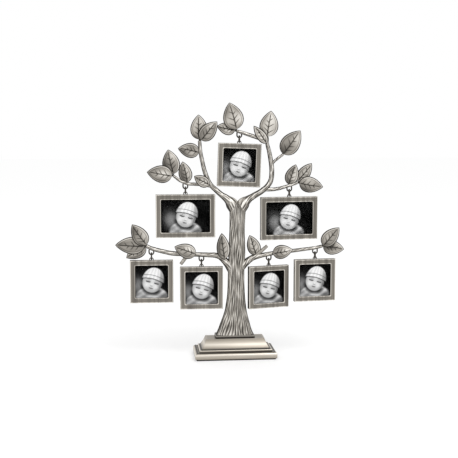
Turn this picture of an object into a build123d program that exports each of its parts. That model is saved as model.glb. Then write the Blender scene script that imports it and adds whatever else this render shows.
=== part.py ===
from build123d import *
import math
import os

# A free-standing family tree cast in pewter finish, with seven small picture frames on its branches.
# Sizes are in millimetres. X runs to the right, Y to the back and Z up. The origin is the middle of the
# underside of the felt. The branches lie in the plane Y = 0, and most leaves stand a little in front of it.

# Plinth
base_width = 82.0
base_depth = 42.0
felt_thickness = 1.0
felt_margin = 1.5
bead_height = 6.5
bead_radius = 3.0
bead_foot_radius = 1.2
step_width = 73.0
step_depth = 32.0
step_height = 2.0
step_radius = 0.8
slope_width = 69.0
slope_depth = 28.5
slope_height = 10.0
top_width = 58.5
top_depth = 18.0
cove_share = 0.08
slope_levels = 4
round_levels = 3

# Foot screws
screw_radius = 2.0
screw_head_radius = 3.6
screw_head_height = 3.0
screw_grip = 8.0
screw_spread = 22.0
screw_fit = 0.05
screw_clearance = 0.25
head_sink = 4.0
thread_end_room = 1.0

# Picture frames
square_width = 43.0
landscape_width = 59.0
frame_height = 43.0
frame_depth = 5.0
frame_border = 5.2
frame_wall = 2.0
frame_face = 1.4
outer_bevel = 0.8
lip_bevel = 0.5
window_corner = 1.5
pane_thickness = 1.0
picture_thickness = 0.3
pocket_fit = 0.1
back_thickness = 1.6
back_fit = 0.15
back_gap = 0.2
notch_width = 9.0
notch_height = 3.5
balance_forward = 0.3
top_frame_offset = 0.8
overrun = 1.0

# Hangers, from the branch down
eyelet_wire = 1.4
eyelet_inner = 3.2
eyelet_drop = 4.1
eyelet_bend = 1.2
link_wire = 1.5
link_half = 1.7
link_bend = 1.0
link_length = 6.2
eye_wire = 1.0
eye_inner = 2.5
eye_bend = 0.8
hanger_play = 0.15
eye_seat_gap = 0.35
wire_sides = 8

# Where the frames hang
lower_clear = 29.0
trunk_gap = 1.8
left_frame_gap = 6.8
right_frame_gap = 4.2
landscape_gap = 14.8
tier_gap = 15.2
right_tier_step = 3.3
fork_drop = 19.7
corner_room = 15.4
ring_gap = 14.0
top_hang_share = 0.13
inner_right_yaw = 14.0
outer_right_yaw = 6.0
upper_right_yaw = 8.0

# Trunk
foot_plate_width = 39.5
foot_plate_depth = 16.4
foot_plate_height = 3.0
trunk_lean = 3.0
trunk_sides = 12
trunk_square_share = 0.62

# Each row is a level of the trunk: its height between plinth and fork, how far it leans towards the right,
# and its width and depth as shares of the foot plate's.
trunk_shares = [
    (0.022, 0.05, 0.960, 0.96),
    (0.060, 0.10, 0.850, 0.92),
    (0.103, 0.18, 0.755, 0.87),
    (0.160, 0.30, 0.630, 0.80),
    (0.218, 0.42, 0.539, 0.75),
    (0.334, 0.50, 0.446, 0.68),
    (0.486, 0.52, 0.418, 0.65),
    (0.635, 0.77, 0.425, 0.65),
    (0.789, 0.83, 0.390, 0.62),
    (0.930, 1.00, 0.390, 0.60),
    (0.965, 0.95, 0.300, 0.54),
    (0.998, 0.90, 0.110, 0.40),
]

# Branches
bough_width = 8.0
bough_rise = 10.0
limb_width = 6.0
twig_width = 3.4
twig_rise = 8.0
branch_depth_share = 0.88
branch_sides = 8
stub_width = 3.9
stub_end_width = 3.4
steps_between = 2

# Each row of a branch is one point of its route: across, up and its width there, as shares.
# The lower boughs run out in shares of the outer frames' distance from the trunk's middle.
left_bough_shares = [
    (0.030, -1.77, 1.00),
    (0.094, -0.86, 0.96),
    (0.192, -0.16, 0.74),
    (0.333, -0.02, 0.60),
    (0.484, 0.04, 0.58),
    (0.731, 0.16, 0.58),
    (0.870, 0.40, 0.56),
    (1.000, 0.71, 0.52),
    (1.066, 1.00, 0.46),
]
right_bough_shares = [
    (0.050, -1.61, 1.02),
    (0.135, -0.90, 0.91),
    (0.214, -0.41, 0.77),
    (0.312, -0.18, 0.64),
    (0.423, -0.01, 0.55),
    (0.570, 0.17, 0.52),
    (0.735, 0.30, 0.48),
    (0.873, 0.43, 0.45),
    (1.000, 0.56, 0.42),
    (1.104, 0.76, 0.38),
]
left_stub_shares = [(0.560, 0.05), (0.651, -0.93)]
right_stub_shares = [(0.225, -0.45), (0.405, 0.83)]

# The limbs and the crown's twigs run in shares of the ring that they form round the top frame.
left_limb_shares = [
    (-0.005, -0.160, 1.15),
    (-0.115, -0.020, 1.38),
    (-0.235, 0.055, 1.20),
    (-0.380, 0.112, 0.95),
    (-0.547, 0.187, 0.85),
    (-0.697, 0.268, 0.80),
    (-0.825, 0.420, 0.74),
    (-0.90, 0.570, 0.70),
    (-0.955, 0.715, 0.65),
    (-0.975, 0.845, 0.60),
    (-0.98, 0.875, 0.54),
]
right_limb_shares = [
    (0.175, -0.160, 1.15),
    (0.275, -0.030, 1.38),
    (0.385, 0.036, 1.22),
    (0.545, 0.090, 1.04),
    (0.750, 0.151, 0.94),
    (0.905, 0.215, 0.90),
    (1.020, 0.305, 0.86),
    (1.050, 0.415, 0.83),
    (1.035, 0.540, 0.80),
    (0.975, 0.710, 0.72),
    (0.915, 0.835, 0.62),
    (0.92, 0.930, 0.52),
]
right_upper_twig_shares = [
    (1.030, 0.530, 0.88),
    (1.085, 0.564, 0.84),
    (1.210, 0.619, 0.80),
    (1.380, 0.684, 0.72),
]
top_twig_shares = [
    (0.907, -1.24, 1.20),
    (0.732, -0.87, 1.20),
    (0.566, -0.62, 1.16),
    (0.315, -0.25, 1.06),
    (0.130, 0.00, 0.95),
    (0.040, 0.11, 0.85),
]

# The middle twigs run in shares of the landscape frames' distance from the trunk's middle.
left_middle_twig_shares = [
    (0.427, -0.46, 1.15),
    (0.665, -0.24, 1.00),
    (0.825, -0.18, 0.97),
    (0.953, -0.11, 0.95),
    (1.096, 0.23, 0.90),
    (1.222, 0.79, 0.80),
    (1.240, 0.91, 0.75),
]
right_middle_twig_shares = [
    (0.480, -0.42, 1.20),
    (0.636, -0.49, 1.15),
    (0.797, -0.39, 1.05),
    (0.944, -0.11, 0.95),
    (1.076, 0.16, 0.90),
    (1.165, 0.39, 0.80),
]

# Leaves
leaf_length = 28.0
leaf_rim = 0.8
leaf_dome_share = 0.13
leaf_groove_share = 0.045
leaf_crest_share = 0.52
leaf_clear = 0.25
petiole_width = 1.7
petiole_share = 0.06
leaf_tip_share = 0.03
leaf_skew_share = 0.80
leaf_round_share = 0.75
leaf_station_shares = [0.05, 0.16, 0.33, 0.50, 0.68, 0.86, 1.00]

# Each leaf: the branch that carries it, how far along that branch it grows, the way it points in degrees
# from the right, its length as a share of the longest leaf's and its width as a share of its own length,
# whether it grows from the front, the side or the back of the branch, and how far its tip leans forwards
# as a share of its length.
leaf_shares = {
    "crown_left_leaves": [
        ("left_limb", 0.97, 48.0, 0.91, 0.61, "front", 0.07),
        ("left_limb", 0.97, 92.0, 0.92, 0.67, "side", 0.00),
        ("left_limb", 0.80, 171.0, 0.80, 0.66, "side", 0.02),
    ],
    "crown_top_leaves": [
        ("top_twig", 0.97, 105.0, 1.02, 0.71, "front", 0.05),
        ("top_twig", 0.99, 166.0, 0.70, 0.64, "side", -0.04),
    ],
    "crown_right_leaves": [
        ("right_limb", 0.98, 82.0, 0.96, 0.70, "side", 0.02),
        ("right_limb", 0.90, 128.0, 0.82, 0.43, "front", 0.05),
        ("right_upper_twig", 0.90, 53.0, 1.09, 0.63, "side", 0.03),
    ],
    "left_middle_leaves": [
        ("left_middle_twig", 0.94, 101.0, 0.93, 0.67, "side", -0.03),
        ("left_middle_twig", 0.94, 172.0, 0.94, 0.66, "front", 0.05),
        ("left_middle_twig", 0.50, 103.0, 0.80, 0.60, "side", 0.02),
        ("left_middle_twig", 0.06, 148.0, 0.66, 0.62, "front", 0.05),
    ],
    "right_middle_leaves": [
        ("right_middle_twig", 0.66, 71.0, 0.80, 0.60, "side", 0.02),
        ("right_middle_twig", 0.96, 53.0, 0.86, 0.53, "side", -0.04),
        ("right_middle_twig", 0.97, -10.0, 0.91, 0.63, "front", 0.05),
    ],
    "left_lower_leaves": [
        ("left_lower_bough", 0.97, 123.0, 0.94, 0.60, "front", 0.05),
        ("left_lower_bough", 0.98, 178.0, 1.10, 0.57, "side", 0.00),
        ("left_lower_bough", 0.97, 211.0, 0.85, 0.60, "back", -0.04),
        ("left_lower_bough", 0.48, 159.0, 0.85, 0.63, "front", 0.03),
        ("left_lower_bough", 0.17, 96.0, 1.00, 0.48, "front", 0.06),
    ],
    "right_lower_leaves": [
        ("right_lower_bough", 0.30, 110.0, 0.81, 0.60, "side", -0.03),
        ("right_lower_bough", 0.47, 11.0, 0.77, 0.66, "front", 0.03),
        ("right_lower_bough", 0.97, 48.0, 0.92, 0.60, "front", 0.06),
        ("right_lower_bough", 0.98, -9.0, 0.82, 0.65, "side", 0.00),
    ],
}

# Heights and distances that follow from the sizes above
plinth_top = felt_thickness + bead_height + step_height + slope_height
ring_radius_gap = (eyelet_wire + link_wire) / 2 + hanger_play
eye_pivot_gap = (link_wire + eye_wire) / 2 + hanger_play
pivot_to_frame = link_wire / 2 + eye_seat_gap
hanger_drop = eyelet_drop - ring_radius_gap + link_length + pivot_to_frame
lower_bough_half = bough_width * left_bough_shares[3][2] / 2
lower_level = plinth_top + lower_clear + frame_height + hanger_drop + lower_bough_half
middle_left_level = lower_level + lower_bough_half + tier_gap + frame_height + hanger_drop + twig_width / 2
middle_right_level = middle_left_level - right_tier_step
fork_level = middle_left_level - fork_drop
crown_level = fork_level + corner_room + frame_height + hanger_drop + twig_width / 2
ring_half = square_width / 2 + ring_gap
ring_rise = crown_level - fork_level
trunk_rise = fork_level - plinth_top
trunk_half = foot_plate_width * trunk_shares[9][2] / 2
lower_trunk_half = foot_plate_width * trunk_shares[4][2] / 2
lower_middle = trunk_lean * trunk_shares[4][1] / 2
inner_reach = lower_trunk_half + trunk_gap + square_width / 2
inner_left_x = lower_middle - inner_reach
inner_right_x = lower_middle + inner_reach
outer_left_x = inner_left_x - square_width - left_frame_gap
outer_right_x = inner_right_x + square_width + right_frame_gap
landscape_reach = trunk_half + landscape_gap + landscape_width / 2
upper_left_x = trunk_lean - landscape_reach
upper_right_x = trunk_lean + landscape_reach
top_x = ring_half * top_hang_share

UPRIGHT = (Align.CENTER, Align.CENTER, Align.MIN)


def smooth(rows):
    """A branch's rows with more of them between, on a curve that runs through every row."""
    points = []
    last = len(rows) - 1
    for i in range(last):
        before, here = rows[max(i - 1, 0)], rows[i]
        after, beyond = rows[i + 1], rows[min(i + 2, last)]
        for k in range(steps_between):
            t = k / steps_between
            points.append(tuple(
                b + t * (c - a + t * (2 * a - 5 * b + 4 * c - d + t * (3 * b - a - 3 * c + d))) / 2
                for a, b, c, d in zip(before, here, after, beyond)
            ))
    return points + [tuple(rows[last])]


def route(shares, across, base_level, rise, width):
    """The stations of a branch, each its X, its Z and its width."""
    return smooth([(u * across, base_level + v * rise, w * width) for u, v, w in shares])


def oval(point, heading, width):
    """The corners of a branch's section at a point, square to its heading."""
    along_x, along_z = heading
    plane = Plane(origin=(point[0], 0, point[1]), x_dir=(along_z, 0, -along_x), z_dir=(along_x, 0, along_z))
    turns = [2 * math.pi * (k + 0.5) / branch_sides for k in range(branch_sides)]
    return [
        plane.from_local_coords((width * math.cos(t) / 2, width * branch_depth_share * math.sin(t) / 2))
        for t in turns
    ]


def flat_faced(rings):
    """A solid of small flat faces that join each ring of points to the next."""
    outlines = [rings[0], rings[-1]]
    for near, far in zip(rings, rings[1:]):
        for i in range(len(near)):
            outlines.append([near[i - 1], near[i], far[i]])
            outlines.append([near[i - 1], far[i], far[i - 1]])
    return Solid(Shell([Face(Wire.make_polygon(outline)) for outline in outlines]))


def branch(stations):
    """A tapering branch that runs through its stations."""
    sections = []
    last = len(stations) - 1
    for i, (x, z, width) in enumerate(stations):
        x0, z0, _ = stations[max(i - 1, 0)]
        x1, z1, _ = stations[min(i + 1, last)]
        sections.append(oval((x, z), (x1 - x0, z1 - z0), width))
    return flat_faced(sections)


def stub(shares, across, base_level, rise):
    """A twig stub that was cut off square."""
    (x0, z0), (x1, z1) = [(u * across, base_level + v * rise) for u, v in shares]
    heading = (x1 - x0, z1 - z0)
    return flat_faced([oval((x0, z0), heading, stub_width), oval((x1, z1), heading, stub_end_width)])


def spot(stations, x):
    """The Z and the width of a branch over the given X."""
    for (x0, z0, w0), (x1, z1, w1) in zip(stations, stations[1:]):
        if min(x0, x1) <= x <= max(x0, x1):
            t = (x - x0) / (x1 - x0)
            return z0 + t * (z1 - z0), w0 + t * (w1 - w0)
    nearest = min(stations, key=lambda s: abs(s[0] - x))
    return nearest[1], nearest[2]


def along(stations, share):
    """The point that lies the given share along a branch, with the width there."""
    place = share * (len(stations) - 1)
    i = min(int(place), len(stations) - 2)
    t = place - i
    return tuple(a + t * (b - a) for a, b in zip(stations[i], stations[i + 1]))


def main_solid(shape):
    """The largest solid of a shape, without the crumbs that a cut can leave."""
    return max(shape.solids(), key=lambda s: s.volume)


def cut_to(piece, neighbours):
    """A piece cut back to the faces of the neighbours that it is brazed to."""
    for neighbour in neighbours:
        piece = main_solid(piece - neighbour)
    return piece


def slab(width, depth, height, foot_radius, top_radius):
    """A slab with rounded long edges, mitred at its corners."""
    levels = []
    turns = [math.pi / 2 * i / round_levels for i in range(round_levels + 1)]
    for turn in turns:
        levels.append((foot_radius * (1 - math.sin(turn)), foot_radius * (1 - math.cos(turn))))
    for turn in turns:
        levels.append((top_radius * (1 - math.cos(turn)), height - top_radius * (1 - math.sin(turn))))
    outlines = [Pos(0, 0, z) * Rectangle(width - 2 * inset, depth - 2 * inset) for inset, z in levels]
    return loft(outlines, ruled=True)


def plinth():
    """The cast plinth: a round bead, a small step and four long slopes."""
    bead = slab(base_width, base_depth, bead_height, bead_foot_radius, bead_radius)
    step = Pos(0, 0, bead_height) * slab(step_width, step_depth, step_height, step_radius / 2, step_radius)
    levels = []
    for i in range(slope_levels + 1):
        rise = i / slope_levels
        inset = rise + cove_share * math.sin(math.pi * rise)
        levels.append(
            Pos(0, 0, bead_height + step_height + rise * slope_height)
            * Rectangle(
                slope_width - (slope_width - top_width) * inset,
                slope_depth - (slope_depth - top_depth) * inset,
            )
        )
    block = Pos(0, 0, felt_thickness) * (bead + step + loft(levels, ruled=True))
    for x in (-screw_spread / 2, screw_spread / 2):
        bore = Cylinder(screw_radius + screw_clearance, plinth_top + overrun, align=UPRIGHT)
        sink = Cylinder(screw_head_radius + screw_clearance, felt_thickness + head_sink, align=UPRIGHT)
        block -= Pos(x, 0, 0) * (bore + sink)
    return block


def base_felt():
    """The felt sheet under the plinth."""
    return Box(base_width - 2 * felt_margin, base_depth - 2 * felt_margin, felt_thickness, align=UPRIGHT)


def foot_screws():
    """Two screws that pull the trunk's foot down onto the plinth."""
    seat = felt_thickness + head_sink
    shank = plinth_top - seat + screw_grip
    screws = []
    for x in (-screw_spread / 2, screw_spread / 2):
        head = Cylinder(screw_head_radius, screw_head_height, align=UPRIGHT)
        stem = Pos(0, 0, screw_head_height) * Cylinder(screw_radius, shank, align=UPRIGHT)
        screws.append(Pos(x, 0, seat - screw_head_height) * (head + stem))
    return screws


def squared(value):
    """A sine or cosine drawn out towards its ends, which squares a round section."""
    return math.copysign(abs(value) ** trunk_square_share, value)


def trunk():
    """The trunk in relief, flaring down to its foot plate, bored for the foot screws."""
    levels = []
    turns = [2 * math.pi * (k + 0.5) / trunk_sides for k in range(trunk_sides)]
    for height, lean, width, depth in trunk_shares:
        across, deep = width * foot_plate_width, depth * foot_plate_depth
        middle, z = lean * trunk_lean, plinth_top + height * trunk_rise
        levels.append([
            (middle + across * squared(math.cos(t)) / 2, deep * squared(math.sin(t)) / 2, z) for t in turns
        ])
    plate = Pos(0, 0, plinth_top) * Box(
        foot_plate_width, foot_plate_depth, foot_plate_height + overrun / 2, align=UPRIGHT
    )
    body = plate + flat_faced(levels)
    for x in (-screw_spread / 2, screw_spread / 2):
        bore = Cylinder(screw_radius + screw_fit, screw_grip + thread_end_room + overrun, align=UPRIGHT)
        body -= Pos(x, 0, plinth_top - overrun) * bore
    return main_solid(body)


def leaf(base, angle, length, width, side, half_depth, lean):
    """A domed leaf with a sunk midrib, lofted across its stem and blade from base to tip."""
    heading = (math.cos(math.radians(angle)), math.sin(math.radians(angle)))
    thickness = leaf_rim + leaf_dome_share * width / 2
    seats = {
        "front": -half_depth - leaf_clear,
        "side": thickness / 2,
        "back": half_depth + leaf_clear + thickness,
    }
    starts = {"front": leaf_rim / 2, "side": thickness / 2, "back": leaf_rim}
    rows = [(0.0, petiole_width / 2, starts[side]), (petiole_share, petiole_width / 2, seats[side])]
    for t in leaf_station_shares:
        blade = math.sin(math.pi * t**leaf_skew_share) ** leaf_round_share if t < 1 else leaf_tip_share
        rows.append((
            petiole_share + t * (1 - petiole_share),
            max(width * blade / 2, leaf_tip_share * width),
            seats[side] - lean * length * t,
        ))
    sections = []
    for s, half, back in rows:
        rim = leaf_rim
        crest = rim + leaf_dome_share * half
        groove = rim + leaf_groove_share * half
        mid = half * leaf_crest_share
        plane = Plane(
            origin=(base[0] + heading[0] * s * length, back, base[1] + heading[1] * s * length),
            x_dir=(heading[1], 0, -heading[0]),
            z_dir=(heading[0], 0, heading[1]),
        )
        outline = [(-half, 0), (-half, -rim), (-mid, -crest), (0, -groove)]
        outline += [(-u, v) for u, v in reversed(outline[:-1])]
        sections.append([plane.from_local_coords(point) for point in outline])
    return flat_faced(sections)


def bend_wire(path, wire):
    """A wire along a path, mitred at its bends."""
    start = Plane(origin=path @ 0, z_dir=path % 0)
    return sweep(start * RegularPolygon(wire / 2, wire_sides), path, transition=Transition.RIGHT)


def eyelet(x, z, width):
    """A U of wire under a branch, with its round bar along X."""
    half = (eyelet_inner + eyelet_wire) / 2
    bar = z - width / 2 - eyelet_drop
    path = Polyline(
        (x - half, 0, z),
        (x - half, 0, bar + eyelet_bend),
        (x - half + eyelet_bend, 0, bar),
        (x + half - eyelet_bend, 0, bar),
        (x + half, 0, bar + eyelet_bend),
        (x + half, 0, z),
    )
    return bend_wire(path, eyelet_wire)


def link(x, bar):
    """A closed wire link that hangs on the eyelet's bar, in the plane across it."""
    top = bar + ring_radius_gap
    bottom = top - link_length
    inset = link_half - link_bend
    path = Polyline(
        (x, link_half, bottom + link_bend),
        (x, link_half, top - link_bend),
        (x, inset, top),
        (x, -inset, top),
        (x, -link_half, top - link_bend),
        (x, -link_half, bottom + link_bend),
        (x, -inset, bottom),
        (x, inset, bottom),
        close=True,
    )
    return bend_wire(path, link_wire)


def frame_shell(width, offset):
    """A frame with bevelled face, rounded window and a pocket behind, and its eye at the origin's link."""
    middle = (offset, balance_forward, -pivot_to_frame - frame_height / 2)
    body = Box(width, frame_depth, frame_height)
    body = chamfer(body.edges().group_by(Axis.Y)[0], outer_bevel)
    opening = Plane.XZ * RectangleRounded(
        width - 2 * frame_border, frame_height - 2 * frame_border, window_corner
    )
    body -= extrude(opening, frame_depth, both=True)
    front = body.edges().group_by(Axis.Y)[0]
    lip = [e for e in front if abs(e.center().X) <= width / 2 - frame_border
           and abs(e.center().Z) <= frame_height / 2 - frame_border]
    body = chamfer(lip, lip_bevel)
    pocket = Box(
        width - 2 * frame_wall, frame_depth, frame_height - 2 * frame_wall,
        align=(Align.CENTER, Align.MIN, Align.CENTER),
    )
    body -= Pos(0, frame_face - frame_depth / 2, 0) * pocket
    return Pos(*middle) * body + frame_eye()


def frame_eye():
    """The small arch of wire on a frame's top edge, round the link's lower bar."""
    half = (eye_inner + eye_wire) / 2
    foot = -pivot_to_frame - eye_wire
    path = Polyline(
        (-half, 0, foot),
        (-half, 0, eye_pivot_gap - eye_bend),
        (-half + eye_bend, 0, eye_pivot_gap),
        (half - eye_bend, 0, eye_pivot_gap),
        (half, 0, eye_pivot_gap - eye_bend),
        (half, 0, foot),
    )
    return bend_wire(path, eye_wire)


def pocket_sheet(width, offset, thickness, setback, fit):
    """A sheet that lies in a frame's pocket, set back from the frame's front face."""
    sheet = Box(
        width - 2 * frame_wall - 2 * fit, thickness, frame_height - 2 * frame_wall - 2 * fit,
        align=(Align.CENTER, Align.MIN, Align.CENTER),
    )
    front = balance_forward - frame_depth / 2
    return Pos(offset, front + setback, -pivot_to_frame - frame_height / 2) * sheet


def frame_back(width, offset):
    """The push-fit back board, with a thumb notch in its lower edge."""
    setback = frame_face + pane_thickness + picture_thickness + back_gap
    board = pocket_sheet(width, offset, back_thickness, setback, back_fit)
    foot = -pivot_to_frame - frame_height + frame_wall
    half = notch_width / 2
    notch = Polygon(
        (-half, -overrun), (half, -overrun), (half, notch_height / 2),
        (half / 2, notch_height), (-half / 2, notch_height), (-half, notch_height / 2),
        align=None,
    )
    return board - Pos(offset, 0, foot) * extrude(Plane.XZ * notch, frame_depth, both=True)


def save(name, shape):
    """Write one node's STEP file."""
    export_step(shape, f"parts/{name}.step")


def group(solids):
    """Separate solids that share one node."""
    return Compound(children=[main_solid(s) for s in solids])


def main():
    os.makedirs("parts", exist_ok=True)
    routes = {
        "left_lower_bough": route(left_bough_shares, outer_left_x, lower_level, bough_rise, bough_width),
        "right_lower_bough": route(right_bough_shares, outer_right_x, lower_level, bough_rise, bough_width),
        "left_limb": route(left_limb_shares, ring_half, fork_level, ring_rise, limb_width),
        "right_limb": route(right_limb_shares, ring_half, fork_level, ring_rise, limb_width),
        "right_upper_twig": route(right_upper_twig_shares, ring_half, fork_level, ring_rise, twig_width),
        "top_twig": route(top_twig_shares, ring_half, crown_level, twig_rise, twig_width),
        "left_middle_twig": route(
            left_middle_twig_shares, upper_left_x, middle_left_level, twig_rise, twig_width
        ),
        "right_middle_twig": route(
            right_middle_twig_shares, upper_right_x, middle_right_level, twig_rise, twig_width
        ),
    }
    branches = {name: branch(stations) for name, stations in routes.items()}
    branches["left_lower_bough"] += stub(left_stub_shares, outer_left_x, lower_level, bough_rise)
    branches["right_lower_bough"] += stub(right_stub_shares, outer_right_x, lower_level, bough_rise)
    stem = trunk()
    for name in ("left_lower_bough", "right_lower_bough", "left_limb", "right_limb"):
        branches[name] = cut_to(branches[name], [stem])
    branches["right_limb"] = cut_to(branches["right_limb"], [branches["left_limb"]])
    branches["left_middle_twig"] = cut_to(branches["left_middle_twig"], [branches["left_limb"]])
    for name in ("top_twig", "right_upper_twig", "right_middle_twig"):
        branches[name] = cut_to(branches[name], [branches["right_limb"]])

    save("base_plinth", plinth())
    save("base_felt", base_felt())
    save("foot_screws", group(foot_screws()))
    save("trunk", stem)
    for name, solid in branches.items():
        save(name, solid)

    for name, rows in leaf_shares.items():
        blades = []
        for host, share, angle, length_share, width_share, side, lean in rows:
            x, z, host_width = along(routes[host], share)
            length = length_share * leaf_length
            half_depth = host_width * branch_depth_share / 2
            blade = leaf((x, z), angle, length, width_share * length, side, half_depth, lean)
            blades.append(cut_to(blade, [stem] + [branches[h] for h in (host, "left_limb", "right_limb")]))
        save(name, group(blades))

    frames = [
        ("top", "top_twig", top_x, square_width, top_frame_offset, 0.0),
        ("upper_left", "left_middle_twig", upper_left_x, landscape_width, 0.0, 0.0),
        ("upper_right", "right_middle_twig", upper_right_x, landscape_width, 0.0, upper_right_yaw),
        ("outer_left", "left_lower_bough", outer_left_x, square_width, 0.0, 0.0),
        ("inner_left", "left_lower_bough", inner_left_x, square_width, 0.0, 0.0),
        ("inner_right", "right_lower_bough", inner_right_x, square_width, 0.0, inner_right_yaw),
        ("outer_right", "right_lower_bough", outer_right_x, square_width, 0.0, outer_right_yaw),
    ]
    eyelets = []
    for name, host, x, width, offset, yaw in frames:
        z, host_width = spot(routes[host], x)
        bar = z - host_width / 2 - eyelet_drop
        eyelets.append(cut_to(eyelet(x, z, host_width), [branches[host]]))
        save(f"{name}_link", link(x, bar))
        pivot = bar + ring_radius_gap - link_length
        roll = math.degrees(math.atan2(offset, pivot_to_frame + frame_height / 2))
        place = Pos(x, 0, pivot) * Rot(Z=yaw) * Rot(Y=roll)
        setback = frame_face + pane_thickness
        save(f"{name}_frame", place * frame_shell(width, offset))
        save(f"{name}_pane", place * pocket_sheet(width, offset, pane_thickness, frame_face, pocket_fit))
        save(f"{name}_picture", place * pocket_sheet(width, offset, picture_thickness, setback, pocket_fit))
        save(f"{name}_back", place * frame_back(width, offset))
        print(f"{name}: eyelet bar at {x:.2f}, {bar:.2f}, pivot at {pivot:.2f}, roll {roll:.2f}")
    save("branch_eyelets", group(eyelets))


main()
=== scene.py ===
"""Looks of a free-standing family tree in antique pewter, with seven small picture frames on its branches.

Lengths are in millimetres until a mesh is made, and metres from there on. X runs to the right, Y to the back
and Z up. Every piece is a surface that numpy works out as whole arrays, in the place that the solids give it.
"""

from __future__ import annotations

import logging
import math
from dataclasses import dataclass, field
from enum import Enum

import bpy
import numpy as np
from mathutils import Matrix, Vector

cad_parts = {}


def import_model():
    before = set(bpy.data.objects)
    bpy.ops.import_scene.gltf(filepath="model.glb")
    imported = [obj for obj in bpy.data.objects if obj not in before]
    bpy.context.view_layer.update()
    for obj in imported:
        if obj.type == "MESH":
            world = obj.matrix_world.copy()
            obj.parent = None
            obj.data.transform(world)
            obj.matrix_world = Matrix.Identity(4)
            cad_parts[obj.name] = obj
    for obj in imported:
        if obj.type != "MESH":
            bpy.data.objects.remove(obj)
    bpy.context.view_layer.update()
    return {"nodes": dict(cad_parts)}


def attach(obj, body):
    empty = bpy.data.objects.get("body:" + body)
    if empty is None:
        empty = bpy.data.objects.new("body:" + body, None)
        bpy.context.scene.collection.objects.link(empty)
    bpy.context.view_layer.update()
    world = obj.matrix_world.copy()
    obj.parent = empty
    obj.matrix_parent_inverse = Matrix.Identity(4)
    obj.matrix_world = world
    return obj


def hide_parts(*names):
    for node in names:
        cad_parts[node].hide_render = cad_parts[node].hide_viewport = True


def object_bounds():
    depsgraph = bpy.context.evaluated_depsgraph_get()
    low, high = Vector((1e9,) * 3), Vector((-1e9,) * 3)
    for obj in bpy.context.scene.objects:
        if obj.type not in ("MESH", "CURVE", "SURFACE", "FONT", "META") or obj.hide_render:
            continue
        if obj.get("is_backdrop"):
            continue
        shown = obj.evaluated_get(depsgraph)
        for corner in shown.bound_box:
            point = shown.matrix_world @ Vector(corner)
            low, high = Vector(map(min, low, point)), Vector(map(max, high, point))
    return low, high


LOG = logging.getLogger("photo_tree")
MM = 0.001
Array = np.ndarray
Rows = list[tuple[float, ...]]
FULL_TURN = 2 * math.pi


# Small formulas


def linear(code: str) -> tuple[float, float, float, float]:
    """Turn an sRGB hex colour into the linear colour that a shader takes.

    Args:
        code: Six hex digits, such as "a49c90".

    Returns:
        Red, green, blue and an alpha of one.
    """
    parts = [int(code[i : i + 2], 16) / 255 for i in (0, 2, 4)]
    return (*[c / 12.92 if c <= 0.04045 else ((c + 0.055) / 1.055) ** 2.4 for c in parts], 1.0)


def step_between(low: float, high: float, value: Array) -> Array:
    """Rise smoothly from 0 at low to 1 at high: 3t^2 - 2t^3 of the clipped share t."""
    t = np.clip((value - low) / (high - low), 0.0, 1.0)
    return t * t * (3 - 2 * t)


def bell(value: Array, width: float) -> Array:
    """A smooth bump of height 1 at zero: e to the minus square of value over width."""
    return np.exp(-((value / width) ** 2))


def scatter(i: Array, j: Array, seed: float) -> Array:
    """A fixed value from 0 to 1 for each pair of whole numbers: the fraction of a large sine."""
    raw = np.sin(i * 127.1 + j * 311.7 + seed * 74.7) * 43758.5453
    return raw - np.floor(raw)


def drift(x: Array, y: Array, seed: float) -> Array:
    """Smooth noise: scattered values on whole numbers, blended between them along both axes.

    Args:
        x: First coordinate, one unit to a blotch.
        y: Second coordinate, of the same shape.
        seed: Which noise it is.

    Returns:
        Values from 0 to 1, of the same shape.
    """
    i, j = np.floor(x), np.floor(y)
    u, v = x - i, y - j
    u, v = u * u * (3 - 2 * u), v * v * (3 - 2 * v)
    low = scatter(i, j, seed) * (1 - u) + scatter(i + 1, j, seed) * u
    high = scatter(i, j + 1, seed) * (1 - u) + scatter(i + 1, j + 1, seed) * u
    return low * (1 - v) + high * v


def strokes(
    across: Array, along: Array, lanes: int, length: float, seed: float, broad: float = 0.15,
) -> Array:
    """Short tapering strokes that follow one another along a surface, as a graver leaves them in a mould.

    The surface is ruled into lanes, and each lane into lengths that start at a place of their own. A length
    holds one stroke: a bell across the lane, whose middle leans by up to a tenth of the lane and wavers by a
    twelfth, and whose width and strength swell and die with the root of sin(pi g), where g is the share of the
    length.

    Args:
        across: Place across the lanes, one unit to a lane.
        along: Place along them, in millimetres.
        lanes: How many lanes go round the piece.
        length: Length of a stroke, in millimetres.
        seed: Which strokes they are.
        broad: Width of the thinnest stroke's bell, as a share of its lane.

    Returns:
        0 between the strokes and up to 1 in the middle of one.
    """
    lane = np.floor(across)
    off = across - lane - 0.5
    number = lane % lanes
    place_along = along / length + 3 * scatter(number, number * 0, seed)
    stroke = np.floor(place_along)
    g = place_along - stroke
    lean = scatter(number, stroke, seed + 1) - 0.5
    swell = np.sqrt(np.sin(math.pi * g).clip(0, 1))
    middle = 0.2 * lean + 0.08 * np.sin(FULL_TURN * (g + lean))
    width = broad * (1 + 0.8 * scatter(number, stroke, seed + 2)) * swell + 0.001
    return bell(off - middle, width) * swell


def turned(x: Array, y: Array, degrees: float) -> tuple[Array, Array]:
    """Coordinates in axes that are turned by an angle."""
    c, s = math.cos(math.radians(degrees)), math.sin(math.radians(degrees))
    return x * c + y * s, -x * s + y * c


# Meshes


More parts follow.
